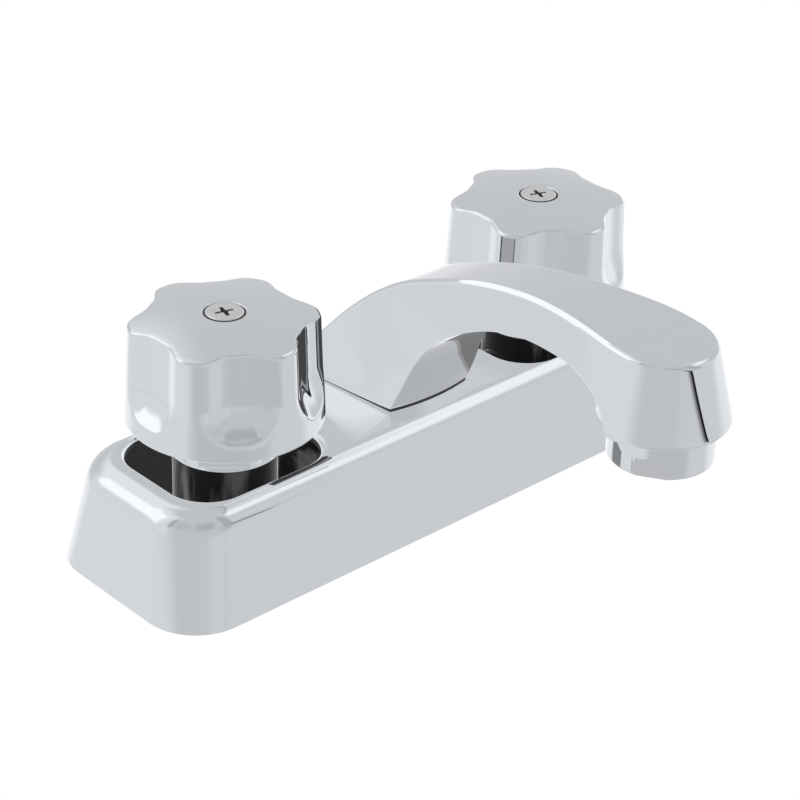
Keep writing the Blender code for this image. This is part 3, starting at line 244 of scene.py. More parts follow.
class WaterwaySizes(bpy.types.PropertyGroup):
    """The moulded waterway with its two threaded inlets."""
    shank: length("Shank", 10.2 * MM, "Radius of an inlet shank")
    flange: length("Flange", 16.0 * MM, "Radius of the flange on the base plate")
    flange_height: length("Flange height", 3.6 * MM, "Height of the flange")
    barrel: length("Barrel", 12.4 * MM, "Radius of a valve barrel")
    neck: length("Neck", 10.7 * MM, "Radius of the neck inside the bonnet nut")
    inlet: length("Inlet", 6.0 * MM, "Radius of the inlet's bore")
    port: length("Port", 4.8 * MM, "Radius of the port in the valve's seat")
    port_foot: length("Port foot", 5.5 * MM, "Height of the port's lower end over the deck")
    seat: length("Seat", 8.5 * MM, "Height of the valve's seat over the deck")
    chamber: length("Chamber", 9.2 * MM, "Radius of the bore for the cartridge")
    hub: length("Hub", 13.0 * MM, "Radius of the hub under the spout")
    hub_bore: length("Hub bore", 6.3 * MM, "Radius of the bore for the threaded tube")
    bar_height: share("Bar height", 0.44, "Height of the bar's axis in the hub")
    bar: share("Bar", 0.428, "Radius of the bar beside the hub's height")
    pitch: length("Thread pitch", 1.8 * MM, "Pitch of the inlet threads")
    thread: length("Thread height", 0.55 * MM, "Height of the inlet threads' ridge")


class Finishes(bpy.types.PropertyGroup):
    """Colours and gloss."""
    chrome: colour("Chrome", (0.60, 0.615, 0.64), "Reflectance of the chrome plate")
    chrome_gloss: share("Chrome roughness", 0.045, "Mean roughness of the chrome plate")
    steel: colour("Screw steel", (0.60, 0.60, 0.595), "Reflectance of the plated screws")
    brass: colour("Brass", (0.60, 0.40, 0.17), "Reflectance of turned brass")
    zinc: colour("Zinc plate", (0.46, 0.47, 0.48), "Reflectance of zinc plate")
    black: colour("Black plastic", (0.006, 0.006, 0.007), "Colour of the glossy black plastic")
    # Near-black: the cover's inside, and the painted shade in the knobs' recesses
    dark_inside_and_shade: colour("Bare inside", (0.011, 0.011, 0.012), "Colour of the cover's unplated inside")
    rubber: colour("Rubber", (0.008, 0.008, 0.008), "Colour of the seals")
    white: colour("White plastic", (0.70, 0.70, 0.68), "Colour of the flow straightener")
    ceramic: colour("Ceramic", (0.78, 0.77, 0.73), "Colour of the valve discs")


class StageSizes(bpy.types.PropertyGroup):
    """Camera, floor and lights."""
    azimuth: angle("Azimuth", -43.778, "Camera's turn round the tap")
    elevation: angle("Elevation", 29.426, "Camera's height over the horizon")
    roll: angle("Roll", 2.06, "Camera's roll")
    distance: length("Distance", 608.427 * MM, "Camera's distance")
    pan: length("Pan", 4.428 * MM, "Camera's shift to its right")
    lift: length("Lift", 19.153 * MM, "Camera's shift upwards")
    lens: FloatProperty(name="Lens", description="Focal length in millimetres", default=108.738)
    floor: length("Floor", 6.0, "Width of the floor")
    flag: length("Flag", 4.0 * MM, "Half width of the black flag before the spout's head")
    flag_foot: coordinate("Flag foot", 8.7 * MM, "X of the flag at the head's foot")
    flag_top: coordinate("Flag top", -4.0 * MM, "X of the flag at the head's top")
    flag_edge: FloatProperty(name="Flag edge", description="Light at the flag's soft side", default=0.9)
    room: FloatProperty(name="Room", description="Light of the room between the cards", default=0.86)


GROUPS = {
    "tap_cover": CoverSizes, "tap_spout": SpoutSizes, "tap_knob": KnobSizes, "tap_screw": ScrewSizes,
    "tap_outlet": OutletSizes, "tap_nut": NutSizes, "tap_waterway": WaterwaySizes,
    "tap_finish": Finishes, "tap_stage": StageSizes,
}


# Node trees written as Python expressions

class Socket:
    """An output socket; arithmetic on it adds Math nodes to its tree."""

    def __init__(self, graph, link):
        self.graph = graph
        self.link = link

    def maths(self, operation, *values):
        """A Math node on values or sockets of this tree."""
        return self.graph.add("ShaderNodeMath", {"operation": operation}, dict(enumerate(values)))

    def __add__(self, other):
        return self.maths("ADD", self, other)

    __radd__ = __add__

    def __sub__(self, other):
        return self.maths("SUBTRACT", self, other)

    def __rsub__(self, other):
        return self.maths("SUBTRACT", other, self)

    def __mul__(self, other):
        return self.maths("MULTIPLY", self, other)

    __rmul__ = __mul__

    def __truediv__(self, other):
        return self.maths("DIVIDE", self, other)

    def root(self):
        return self.maths("SQRT", self)

    def cosine(self):
        return self.maths("COSINE", self)

    def at_least(self, floor):
        return self.maths("MAXIMUM", self, floor)

    def pick(self, name):
        """Another output of the same node."""
        return Socket(self.graph, self.link.node.outputs[name])


class Graph:
    """A node tree with one method that adds any node."""

    def __init__(self, tree):
        self.tree = tree

    def add(self, kind, settings=None, inputs=None, output=0):
        """A node of a kind, with its settings and the values or links of its sockets."""
        node = self.tree.nodes.new(kind)
        for name, value in (settings or {}).items():
            setattr(node, name, value)
        for name, value in (inputs or {}).items():
            socket = node.inputs[name]
            if isinstance(value, Socket):
                self.tree.links.new(value.link, socket)
            else:
                socket.default_value = value
        return Socket(self, node.outputs[output]) if node.outputs else node


def new_material(name, show):
    """An empty material and its tree. show is its colour in the plain view."""
    made = bpy.data.materials.new(name)
    made.use_nodes = True
    made.diffuse_color = (*show, 1.0)
    made.node_tree.nodes.clear()
    return made, Graph(made.node_tree)


def close_material(graph, shader):
    """Ends a material in its shader."""
    graph.add("ShaderNodeOutputMaterial", inputs={"Surface": shader})


def own_place(graph):
    """The piece's own coordinates."""
    return graph.add("ShaderNodeTexCoord").pick("Object")


def axes(graph, vector):
    """The X, Y and Z of a vector."""
    split = graph.add("ShaderNodeSeparateXYZ", inputs={"Vector": vector})
    return split.pick("X"), split.pick("Y"), split.pick("Z")


def stretched(graph, vector, by):
    """A vector with each of its numbers multiplied."""
    return graph.add("ShaderNodeVectorMath", {"operation": "MULTIPLY"}, {0: vector, 1: by})


def grain(graph, scale, detail=2.0, rough=0.5, stretch=None):
    """Noise on the piece's own coordinates, from 0 to 1."""
    spot = own_place(graph)
    if stretch is not None:
        spot = stretched(graph, spot, stretch)
    return graph.add("ShaderNodeTexNoise", {"noise_dimensions": "3D"},
                     {"Vector": spot, "Scale": scale, "Detail": detail, "Roughness": rough})


def bump(graph, height, distance):
    """Relief of a height from 0 to 1, over a distance in metres."""
    return graph.add("ShaderNodeBump", inputs={"Height": height, "Distance": distance, "Strength": 1.0})


def tinted(graph, mask, low, high):
    """A colour between two, by a mask."""
    return graph.add("ShaderNodeMix", {"data_type": "RGBA"},
                     {"Factor": mask, 6: (*low, 1.0), 7: (*high, 1.0)}, output=2)


def toned(tint, factor):
    """A colour made darker or lighter."""
    return tuple(min(factor * part, 1.0) for part in tint)


def smooth_step(graph, value, low, high):
    """A soft step from 0 at one value to 1 at another."""
    return graph.add("ShaderNodeMapRange", {"interpolation_type": "SMOOTHSTEP"},
                     {"Value": value, "From Min": low, "From Max": high})


def radial(graph, centre):
    """Distance from an upright axis."""
    flat = stretched(graph, own_place(graph), (1.0, 1.0, 0.0))
    return graph.add("ShaderNodeVectorMath", {"operation": "DISTANCE"}, {0: flat, 1: (*centre, 0.0)},
                     output=1)


def principled(graph, values):
    """The shader of every finish."""
    return graph.add("ShaderNodeBsdfPrincipled", inputs=values)


def chrome_plate(finishes):
    """Bright plate over a polished casting: even gloss with faint haze and the slightest waviness."""
    made, graph = new_material("chrome_plate", finishes.chrome)
    haze = grain(graph, 90.0, 4.0, 0.6)
    fine = grain(graph, 2600.0, 2.0, 0.5)
    gloss = finishes.chrome_gloss + 0.02 * (haze - 0.5) + 0.012 * (fine - 0.5)
    waves = grain(graph, 55.0, 1.0, 0.4)
    normal = bump(graph, waves, 0.000012)
    close_material(graph, principled(graph, {
        "Base Color": (*finishes.chrome, 1.0), "Metallic": 1.0, "Roughness": gloss, "Normal": normal}))
    return made


def dark_inside_and_painted_shade(finishes):
    """The cover's near-black inside, which also serves as painted shade down in the knobs' recesses."""
    made, graph = new_material("dark_inside_and_painted_shade", finishes.dark_inside_and_shade)
    stain = grain(graph, 220.0, 5.0, 0.65)
    pores = grain(graph, 1500.0, 3.0, 0.6)
    tone = tinted(graph, stain, toned(finishes.dark_inside_and_shade, 0.5), toned(finishes.dark_inside_and_shade, 1.8))
    normal = bump(graph, pores, 0.00008)
    close_material(graph, principled(graph, {
        "Base Color": tone, "Roughness": 0.45 + 0.3 * stain,
        "Specular IOR Level": 0.26, "Normal": normal}))
    return made


def screw_plate(finishes, name, centre, top):
    """Satin nickel plate with turning marks round the screw's axis and painted shade down in the recess."""
    made, graph = new_material(name, finishes.steel)
    ring_gap = 0.16 * MM
    # Painted shade: the plate darkens with depth, from just under the screw's top down into the recess
    shade_from, shade_to = top - 0.2 * MM, top - 0.5 * MM
    rings = (radial(graph, centre) * (math.tau / ring_gap)).cosine()
    mottle = grain(graph, 900.0, 3.0, 0.6)
    height = axes(graph, own_place(graph))[2]
    painted_shade = smooth_step(graph, height, shade_from, shade_to)
    plate = tinted(graph, mottle, toned(finishes.steel, 0.82), toned(finishes.steel, 1.12))
    normal = bump(graph, 0.4 * rings + mottle, 0.0000015)
    # The painted shade turns the plate near-black in the recess and dulls its gloss there
    tone = graph.add("ShaderNodeMix", {"data_type": "RGBA"}, {
        "Factor": painted_shade, 6: plate, 7: (0.03, 0.028, 0.026, 1.0)}, output=2)
    close_material(graph, principled(graph, {
        "Base Color": tone, "Metallic": 1.0, "Roughness": 0.2 + 0.16 * mottle + 0.3 * painted_shade,
        "Normal": normal}))
    return made


def black_gloss(finishes):
    """Glossy black moulding with soft upright flow streaks."""
    made, graph = new_material("black_gloss", finishes.black)
    flow = grain(graph, 150.0, 3.0, 0.55, (1.0, 1.0, 0.16))
    pebble = grain(graph, 1300.0, 3.0, 0.6)
    tone = tinted(graph, flow, finishes.black, toned(finishes.black, 3.0))
    normal = bump(graph, flow + 0.5 * pebble, 0.00012)
    close_material(graph, principled(graph, {
        "Base Color": tone, "Roughness": 0.14 + 0.25 * flow,
        "Specular IOR Level": 0.06, "Coat IOR": 1.75, "Coat Roughness": 0.12,
        "Coat Weight": 0.9 * smooth_step(graph, flow, 0.54, 0.72), "Normal": normal}))
    return made


def matt_black(finishes):
    """Matt moulded plate with a spark-eroded grain."""
    made, graph = new_material("matt_black", finishes.black)
    pebble = grain(graph, 1600.0, 4.0, 0.6)
    tone = tinted(graph, pebble, toned(finishes.black, 2.0), toned(finishes.black, 4.5))
    normal = bump(graph, pebble, 0.00012)
    close_material(graph, principled(graph, {
        "Base Color": tone, "Roughness": 0.5 + 0.25 * pebble, "Normal": normal}))
    return made


def turned_metal(name, tint, centre, roughness):
    """Metal with lathe marks along an upright axis and dull patches."""
    made, graph = new_material(name, tint)
    mark_gap = 0.22 * MM
    height = axes(graph, own_place(graph))[2]
    marks = ((height + radial(graph, centre)) * (math.tau / mark_gap)).cosine()
    patch = grain(graph, 160.0, 5.0, 0.65)
    tone = tinted(graph, patch, toned(tint, 0.72), toned(tint, 1.08))
    normal = bump(graph, 0.35 * marks + patch, 0.00002)
    close_material(graph, principled(graph, {
        "Base Color": tone, "Metallic": 1.0,
        "Roughness": roughness + 0.2 * patch, "Normal": normal}))
    return made


def soft_rubber(finishes):
    """Black rubber, dulled by dust."""
    made, graph = new_material("soft_rubber", finishes.rubber)
    dust = grain(graph, 700.0, 4.0, 0.6)
    close_material(graph, principled(graph, {
        "Base Color": tinted(graph, dust, finishes.rubber, toned(finishes.rubber, 3.0)),
        "Roughness": 0.6 + 0.25 * dust, "Normal": bump(graph, dust, 0.00004)}))
    return made


def pale_moulding(name, tint, roughness):
    """White plastic or ground ceramic."""
    made, graph = new_material(name, tint)
    cloud = grain(graph, 500.0, 4.0, 0.6)
    close_material(graph, principled(graph, {
        "Base Color": tinted(graph, cloud, toned(tint, 0.93), tint), "Roughness": roughness + 0.12 * cloud,
        "Normal": bump(graph, cloud, 0.00001)}))
    return made


# Mesh building blocks

def put(name, data):
    """An object in the scene."""
    made = bpy.data.objects.new(name, data)
    bpy.context.scene.collection.objects.link(made)
    return made


def piece(name, bm, surface, crease=32.0):
    """An object from a bmesh, with its faces turned outwards and smooth up to an angle."""
    bmesh.ops.remove_doubles(bm, verts=bm.verts, dist=1e-7)
    bmesh.ops.recalc_face_normals(bm, faces=bm.faces)
    mesh = bpy.data.meshes.new(name)
    bm.to_mesh(mesh)
    bm.free()
    if surface is not None:
        mesh.materials.append(surface)
    smooth(mesh, crease)
    return put(name, mesh)


def smooth(mesh, crease):
    """Smooth shading that breaks where faces meet at more than an angle."""
    mesh.shade_smooth()
    mesh.set_sharp_from_angle(angle=math.radians(crease))


def settle(target):
    """Turns a piece with its modifiers into a plain mesh."""
    graph = bpy.context.evaluated_depsgraph_get()
    made = bpy.data.meshes.new_from_object(target.evaluated_get(graph), preserve_all_data_layers=True,
                                           depsgraph=graph)
    old = target.data
    target.modifiers.clear()
    target.data = made
    bpy.data.meshes.remove(old)
    made.name = target.name
    return target


def coat(target, *surfaces):
    """Gives a piece its finishes. All its faces take the first, until others are picked."""
    slots = target.data.materials
    slots.clear()
    for surface in surfaces:
        slots.append(surface)


def weigh_normals(target, crease):
    """Keeps large flat faces flat beside their rounded edges."""
    smooth(target.data, crease)
    weigh = target.modifiers.new("weigh", "WEIGHTED_NORMAL")
    weigh.mode = "FACE_AREA"
    weigh.weight = 80
    weigh.keep_sharp = True
    return settle(target)


def combine(target, tools):
    """Joins and cuts a piece with others, then removes them. tools is [(object, operation)]."""
    for tool, operation in tools:
        step = target.modifiers.new(tool.name, "BOOLEAN")
        step.operation = operation
        step.object = tool
        step.solver = "EXACT"
    settle(target)
    for tool, _ in tools:
        mesh = tool.data
        bpy.data.objects.remove(tool)
        bpy.data.meshes.remove(mesh)
    return target


def quilt(bm, rows):
    """Faces between rows of points that don't meet at their ends."""
    for one, two in zip(rows, rows[1:]):
        for i in range(len(one) - 1):
            bm.faces.new((one[i], one[i + 1], two[i + 1], two[i]))


def hoop(bm, rings):
    """Faces right round between rings of points."""
    for one, two in zip(rings, rings[1:]):
        for i in range(len(one)):
            j = (i + 1) % len(one)
            bm.faces.new((one[i], one[j], two[j], two[i]))


def stack(rings, closed=False):
    """A skin through rings of equally many points: capped at both ends, or closed on itself."""
    bm = bmesh.new()
    rows = [[bm.verts.new(point) for point in ring] for ring in rings]
    hoop(bm, rows + rows[:1] if closed else rows)
    if not closed:
        bm.faces.new(rows[0])
        bm.faces.new(rows[-1])
    return bm


def bends(steps, first=1, degrees=90.0):
    """Sine and cosine at each step of a rounded edge."""
    turns = [math.radians(degrees * step / steps) for step in range(first, steps + 1)]
    return [(math.sin(turn), math.cos(turn)) for turn in turns]


def circle(radius, z, segments, centre=(0.0, 0.0)):
    """A level ring of points."""
    turns = [math.tau * k / segments for k in range(segments)]
    return [(centre[0] + radius * math.cos(t), centre[1] + radius * math.sin(t), z) for t in turns]


def lathe(profile, segments, centre=(0.0, 0.0)):
    """A closed skin from a (radius, z) profile, which is a ring where it never meets the axis."""
    on_axis = profile[0][0] <= 0.0
    rows = [(max(radius, NEEDLE), z) for radius, z in profile]
    return stack([circle(radius, z, segments, centre) for radius, z in rows], closed=not on_axis)


def rod(radius, low, high, segments, centre=(0.0, 0.0)):
    """A plain round bar."""
    return lathe([(0.0, low), (radius, low), (radius, high), (0.0, high)], segments, centre)


def spin(bm, centre, turn):
    """Turns a form about the vertical and moves it onto an upright axis."""
    there = Matrix.Translation((*centre, 0.0)) @ Matrix.Rotation(turn, 4, "Z")
    bmesh.ops.transform(bm, matrix=there, verts=bm.verts)


def seed(name, surface):
    """A small form, which a Geometry Nodes tree puts its own result in place of."""
    return piece(name, rod(MM, 0.0, MM, 6), surface, 60.0)


def rounded(half_x, half_y, radius, z, steps=16, centre=(0.0, 0.0)):
    """A rounded rectangle of points."""
    points = []
    for side_x, side_y, start in ((1, 1, 0), (-1, 1, 90), (-1, -1, 180), (1, -1, 270)):
        for step in range(steps + 1):
            turn = math.radians(start + 90.0 * step / steps)
            points.append((centre[0] + side_x * (half_x - radius) + radius * math.cos(turn),
                           centre[1] + side_y * (half_y - radius) + radius * math.sin(turn), z))
    return points


def arc(start, corner, end, steps):
    """Points of a circular arc that is tangent to start-corner at start and to corner-end at end."""
    one = (start - corner).normalized()
    two = (end - corner).normalized()
    weight = math.sin(one.angle(two) / 2.0)
    points = []
    for step in range(steps + 1):
        u = step / steps
        a = (1.0 - u) ** 2
        b = 2.0 * u * (1.0 - u) * weight
        c = u * u
        points.append((a * start + b * corner + c * end) / (a + b + c))
    return points


def catmull(before, start, end, after, u):
    """A smooth curve through start and end, for each number of a row."""
    return tuple(0.5 * (2.0 * b + (c - a) * u + (2.0 * a - 5.0 * b + 4.0 * c - d) * u * u
                        + (3.0 * b - a - 3.0 * c + d) * u ** 3)
                 for a, b, c, d in zip(before, start, end, after))


def socket_id(tree, name):
    """Identifier of a tree's named input."""
    return next(item.identifier for item in tree.interface.items_tree
                if item.item_type == "SOCKET" and item.in_out == "INPUT" and item.name == name)


def geometry_tree(name, numbers):
    """An empty Geometry Nodes tree, the geometry that it is given and its named numbers."""
    tree = bpy.data.node_groups.new(name, "GeometryNodeTree")
    tree.interface.new_socket("Geometry", in_out="INPUT", socket_type="NodeSocketGeometry")
    tree.interface.new_socket("Geometry", in_out="OUTPUT", socket_type="NodeSocketGeometry")
    for number in numbers:
        tree.interface.new_socket(number, in_out="INPUT", socket_type="NodeSocketFloat")
    graph = Graph(tree)
    given = graph.add("NodeGroupInput")
    return tree, graph, given.pick("Geometry"), {number: given.pick(number) for number in numbers}


def close_tree(graph, geometry, surface):
    """Ends a tree in real geometry with its material."""
    real = graph.add("GeometryNodeRealizeInstances", inputs={"Geometry": geometry})
    dressed = graph.add("GeometryNodeSetMaterial", inputs={"Geometry": real, "Material": surface})
    graph.add("NodeGroupOutput", inputs={"Geometry": dressed})


def run_tree(target, tree, values):
    """Runs a tree on a piece and keeps its result as a plain mesh."""
    step = target.modifiers.new(tree.name, "NODES")
    step.node_group = tree
    for name, value in values.items():
        step[socket_id(tree, name)] = value
    return settle(target)


def place_piece(made, body, nodes):
    """Lets a piece ride on a body and stand for its nodes."""
    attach(made, body)
    if nodes:
        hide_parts(*nodes)


def dress(node, surface):
    """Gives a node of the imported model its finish."""
    coat(frame["nodes"][node], surface)


# Cover

def cover_height(sizes):
    """Height of the roof, beside the boss."""
    return COVER_HIGH.z - sizes.rise


def cover_ring(sizes, z, inset=0.0, steps=24):
    """The cover's outline at a height."""
    lean = z / cover_height(sizes)
    return rounded(COVER_HIGH.x - sizes.lean_x * lean - inset, COVER_HIGH.y - sizes.lean_y * lean - inset,
                   sizes.corner - inset, z, steps)


def cover_outside(sizes, levels=10, steps=14):
    """The leaning sides, the soft top edge and the roof."""
    height = cover_height(sizes)
    side_top = height - sizes.edge
    rings = [cover_ring(sizes, side_top * level / levels) for level in range(levels + 1)]
    for sine, cosine in bends(steps):
        rings.append(cover_ring(sizes, height - sizes.edge * (1.0 - sine), sizes.edge * (1.0 - cosine)))
    return stack(rings)


def cover_inside(sizes, steps=5):
    """The hollow inside the walls and the roof."""
    roof = cover_height(sizes) - sizes.roof
    edge = sizes.edge - sizes.wall
    rings = [cover_ring(sizes, -MM, sizes.wall), cover_ring(sizes, roof - edge, sizes.wall)]
    for sine, cosine in bends(steps):
        rings.append(cover_ring(sizes, roof - edge * (1.0 - sine), sizes.wall + edge * (1.0 - cosine)))
    return stack(rings)


def well_cutter(sizes, centre_x, steps=8):
    """An opening with a rolled lip."""
    height = cover_height(sizes)
    levels = [(height - sizes.roof - MM, 0.0), (height - sizes.lip, 0.0)]
    for sine, cosine in bends(steps, degrees=86.0):
        levels.append((height - sizes.lip * (1.0 - sine), sizes.lip * (1.0 - cosine)))
    levels.append((height + MM, levels[-1][1] + 0.07 * MM))
    return stack([rounded(sizes.well_length / 2.0 + grow, sizes.well_depth / 2.0 + grow,
                          sizes.well_corner + grow, z, 20, (centre_x, 0.0)) for z, grow in levels])


# Sections of the spout from the foot to the head, in millimetres: the top edge's Y, height over
# the foot and half width, then the lower edge's Y, height and half width
SECTIONS = (
    (18.3, 0.0, 15.3, -15.6, 0.0, 12.7),
    (13.0, 8.0, 11.6, -17.6, 4.3, 12.5),
    (6.0, 16.4, 9.4, -19.6, 9.0, 12.0),
    (-2.0, 23.9, 8.1, -21.8, 14.0, 11.3),
    (-11.2, 30.3, 7.7, -25.4, 19.2, 10.8),
    (-20.5, 34.6, 7.7, -30.6, 24.1, 10.5),
    (-31.0, 38.6, 7.8, -37.0, 28.2, 10.2),
    (-42.5, 41.9, 7.9, -45.0, 31.7, 10.0),
    (-54.0, 43.9, 8.4, -54.5, 34.1, 10.4),
    (-64.0, 44.7, 9.5, -64.0, 35.0, 11.6),
    (-72.5, 44.8, 10.9, -71.8, 34.9, 13.0),
    (-79.5, 44.5, 11.9, -78.3, 33.3, 14.7),
    (-83.8, 44.2, 12.1, -83.2, 30.4, 16.1),
)


def section_rows():
    """The sections in metres, over the deck."""
    lift = SPOUT_LOW.z / MM
    return [tuple(value * MM for value in (ty, tz + lift, tw, ly, lz + lift, lw))
            for ty, tz, tw, ly, lz, lw in SECTIONS]


def foot_half_width(y):
    """Half the width of the spout's foot at a distance from front to back."""
    back_y, _, back_width, front_y, _, front_width = section_rows()[0]
    return front_width + (back_width - front_width) * (y - front_y) / (back_y - front_y)


def boss_mesh(sizes, bow, rows=36, flank=22):
    """The land under the spout, with a concave flank down towards each valve."""
    back_y, _, _, front_y, _, _ = section_rows()[0]
    height = cover_height(sizes)
    under = height - sizes.roof * 0.5
    sunk = 0.04 * MM
    shoulder_steps = 2
    top_rows = []
    low_rows = []
    bm = bmesh.new()
    for row in range(rows + 1):
        share_y = row / rows
        y = front_y + (back_y - front_y) * share_y
        edge = foot_half_width(y) + sizes.margin
        skirt = sizes.skirt_back + (sizes.skirt_front - sizes.skirt_back) * (1.0 - share_y) ** 2
        reach = sizes.shoulder / skirt
        half = [(edge * 0.5, sizes.rise)]
        for step in range(flank + 1):
            if step <= shoulder_steps:
                s = reach * step / shoulder_steps
            else:
                s = reach + (1.0 - reach) * (step - shoulder_steps) / (flank - shoulder_steps)
            half.append((edge + skirt * s, (sizes.rise + sunk) * max(1.0 - s, 0.0) ** 1.3 - sunk))
        line = [(-x, z) for x, z in reversed(half)] + [(0.0, sizes.rise)] + half
        top_row, low_row = [], []
        for x, rise in line:
            bend = bow * (1.0 - (x / edge) ** 2) if row == 0 and abs(x) < edge else 0.0
            foot = sizes.lean if row == 0 else 0.0
            lean = foot * (1.0 - max(rise, 0.0) / sizes.rise)
            top_row.append(bm.verts.new((x, y - bend - lean, height + rise)))
            low_row.append(bm.verts.new((x, y - bend - foot, under)))
        top_rows.append(top_row)
        low_rows.append(low_row)
    quilt(bm, top_rows)
    quilt(bm, low_rows)
    for end in (0, -1):
        quilt(bm, [top_rows[end], low_rows[end]])
        quilt(bm, [[row[end] for row in top_rows], [row[end] for row in low_rows]])
    return bm


def skin_inset(sizes, z):
    """How far the rounded top edge draws the cover's skin in at a height."""
    over = max(z - cover_height(sizes) + sizes.edge, 0.0)
    return sizes.edge - math.sqrt(max(sizes.edge ** 2 - over ** 2, 0.0))


def inset_of(sizes, point):
    """How far a point lies inside the cover's outer outline at its height."""
    lean = point.z / cover_height(sizes)
    x = abs(point.x) - (COVER_HIGH.x - sizes.lean_x * lean - sizes.corner)
    y = abs(point.y) - (COVER_HIGH.y - sizes.lean_y * lean - sizes.corner)
    return sizes.corner - math.hypot(max(x, 0.0), max(y, 0.0)) - min(max(x, y), 0.0)


def make_cover(sizes, spout, surfaces):
    """The plated shell, near-black inside."""
    cover = piece("cover_shell", cover_outside(sizes), surfaces["chrome"])
    tools = [(piece("cut_inside", cover_inside(sizes), None), "DIFFERENCE"),
             (piece("add_boss", boss_mesh(sizes, spout.bow), None), "UNION")]
    for side in SIDES:
        centre = axis_of(side)
        shifted = centre + math.copysign(sizes.well_shift, centre)
        tools.append((piece(f"cut_{side}_well", well_cutter(sizes, shifted), None), "DIFFERENCE"))
    hole = rod(spout.foot_bore, cover_height(sizes) - 2.0 * sizes.roof, SPOUT_LOW.z, 48)
    tools.append((piece("cut_spout_hole", hole, None), "DIFFERENCE"))
    combine(cover, tools)
    weigh_normals(cover, 38.0)
    coat(cover, surfaces["chrome"], surfaces["dark_inside_and_shade"])
    # Faces on the inside, below the wells' lip, take the near-black finish
    chrome_from = cover_height(sizes) - sizes.lip + NEVER_COINCIDE
    for face in cover.data.polygons:
        depth = inset_of(sizes, face.center) - skin_inset(sizes, face.center.z)
        inside = face.center.z < chrome_from and depth > sizes.wall / 2.0
        face.material_index = 1 if inside and face.center.z > NEVER_COINCIDE else 0
    place_piece(cover, "tap_body", ["cover"])


# Spout

def spout_stations(sizes, steps=10, nose_steps=40):
    """Top and lower edge points on the +X side, from the foot to the tip of the nose."""
    rows = section_rows()
    rows.append((sizes.head_y, sizes.head_top_z, sizes.head_top,
                 sizes.head_y, sizes.head_low_z, sizes.head_low))
    stations = []
    for k in range(len(rows) - 1):
        before = rows[max(k - 1, 0)]
        after = rows[min(k + 2, len(rows) - 1)]
        for step in range(steps):
            stations.append((*catmull(before, rows[k], rows[k + 1], after, step / steps), k + step / steps))
    for sine, cosine in bends(nose_steps, first=0):
        stations.append((sizes.head_y - sizes.head_top * sine, sizes.head_top_z - sizes.head_fall * sine,
                         sizes.head_top * cosine, sizes.head_y - sizes.head_low * sine,
                         sizes.head_low_z, sizes.head_low * cosine, len(rows) - 1))
    return stations


def edge_frames(points, slope_of):
    """For each point of an edge, its direction and the way inwards across the face beside it."""
    frames = []
    last = len(points) - 1
    for k, point in enumerate(points):
        if k == last:
            along = Vector((-1.0, 0.0, 0.0))
        else:
            along = (points[k + 1] - points[max(k - 1, 0)]).normalized()
        normal = slope_of(k)
        inward = normal.cross(along).normalized()
        wanted = Vector((-1.0, 0.0, 0.0)) if point.x > 1e-6 else Vector((0.0, 1.0, 0.0))
        if inward.dot(wanted) < 0.0:
            inward.negate()
        frames.append((along, inward))
    return frames


def slopes(points, nose_from, nose_slope):
    """Normals of a strip that runs straight across, from its centre line's slope."""
    def normal(k):
        if k >= nose_from:
            return nose_slope
        one = points[max(k - 1, 0)]
        two = points[k + 1]
        return Vector((0.0, two.z - one.z, one.y - two.y)).normalized()
    return normal


def foot_z(sizes, y):
    """Height of the foot's underside."""
    back_y, _, _, front_y, _, _ = section_rows()[0]
    share_y = max((y - front_y) / (back_y - front_y), 0.0)
    return SPOUT_LOW.z - sizes.foot_drop - sizes.foot_lean * share_y ** 0.4


def spout_grid(sizes, top_steps=4, side_steps=14, under_steps=8):
    """Half of the spout's skin as rows of points, from the middle of its top to the middle below."""
    stations = spout_stations(sizes)
    tops = [Vector((w, y, z)) for y, z, w, _, _, _, _ in stations]
    lows = [Vector((w, y, z)) for _, _, _, y, z, w, _ in stations]
    marks = [station[6] for station in stations]
    nose_from = next(k for k, mark in enumerate(marks) if mark >= len(SECTIONS))
    fall = Vector((0.0, -sizes.head_fall / sizes.head_top, 1.0)).normalized()
    top_frames = edge_frames(tops, slopes(tops, nose_from, fall))
    low_frames = edge_frames(lows, slopes(lows, nose_from, Vector((0.0, 0.0, -1.0))))
    lip_from, lip_to = len(SECTIONS) - 5.0, len(SECTIONS) - 1.0
    grid = []
    for k, (top, low) in enumerate(zip(tops, lows)):
        down = low - top
        across = top_frames[k][0]
        down = (down - down.dot(across) * across).normalized()
        grow = min(max((marks[k] - lip_from) / (lip_to - lip_from), 0.0), 1.0)
        setback = sizes.low_edge + (sizes.lip - sizes.low_edge) * grow * grow * (3.0 - 2.0 * grow)
        room = 0.9 * min(top.x, low.x) if k < nose_from else 1.0
        top_set = min(sizes.edge, room)
        upper = arc(top + top_frames[k][1] * top_set, top, top + down * top_set, 8)
        up = (top - low).normalized()
        lower = arc(low + up * setback, low, low + low_frames[k][1] * min(setback, room), 6)
        bow = sizes.bow * max(1.0 - marks[k] / 4.0, 0.0)
        row = []
        first = upper[0]
        for step in range(top_steps):
            row.append(Vector((first.x * step / top_steps, first.y, first.z)))
        row += upper
        for step in range(1, side_steps):
            row.append(upper[-1].lerp(lower[0], step / side_steps))
        row += lower
        last = lower[-1]
        for step in range(1, under_steps + 1):
            u = 1.0 - step / under_steps
            row.append(Vector((last.x * u, last.y, last.z)))
        for point in row[-under_steps - 1:]:
            point.y -= bow * (1.0 - (point.x / lower[-1].x) ** 2) if bow > 0.0 else 0.0
        if k == 0:
            for point in row:
                point.z = foot_z(sizes, point.y)
        grid.append(row)
    return grid


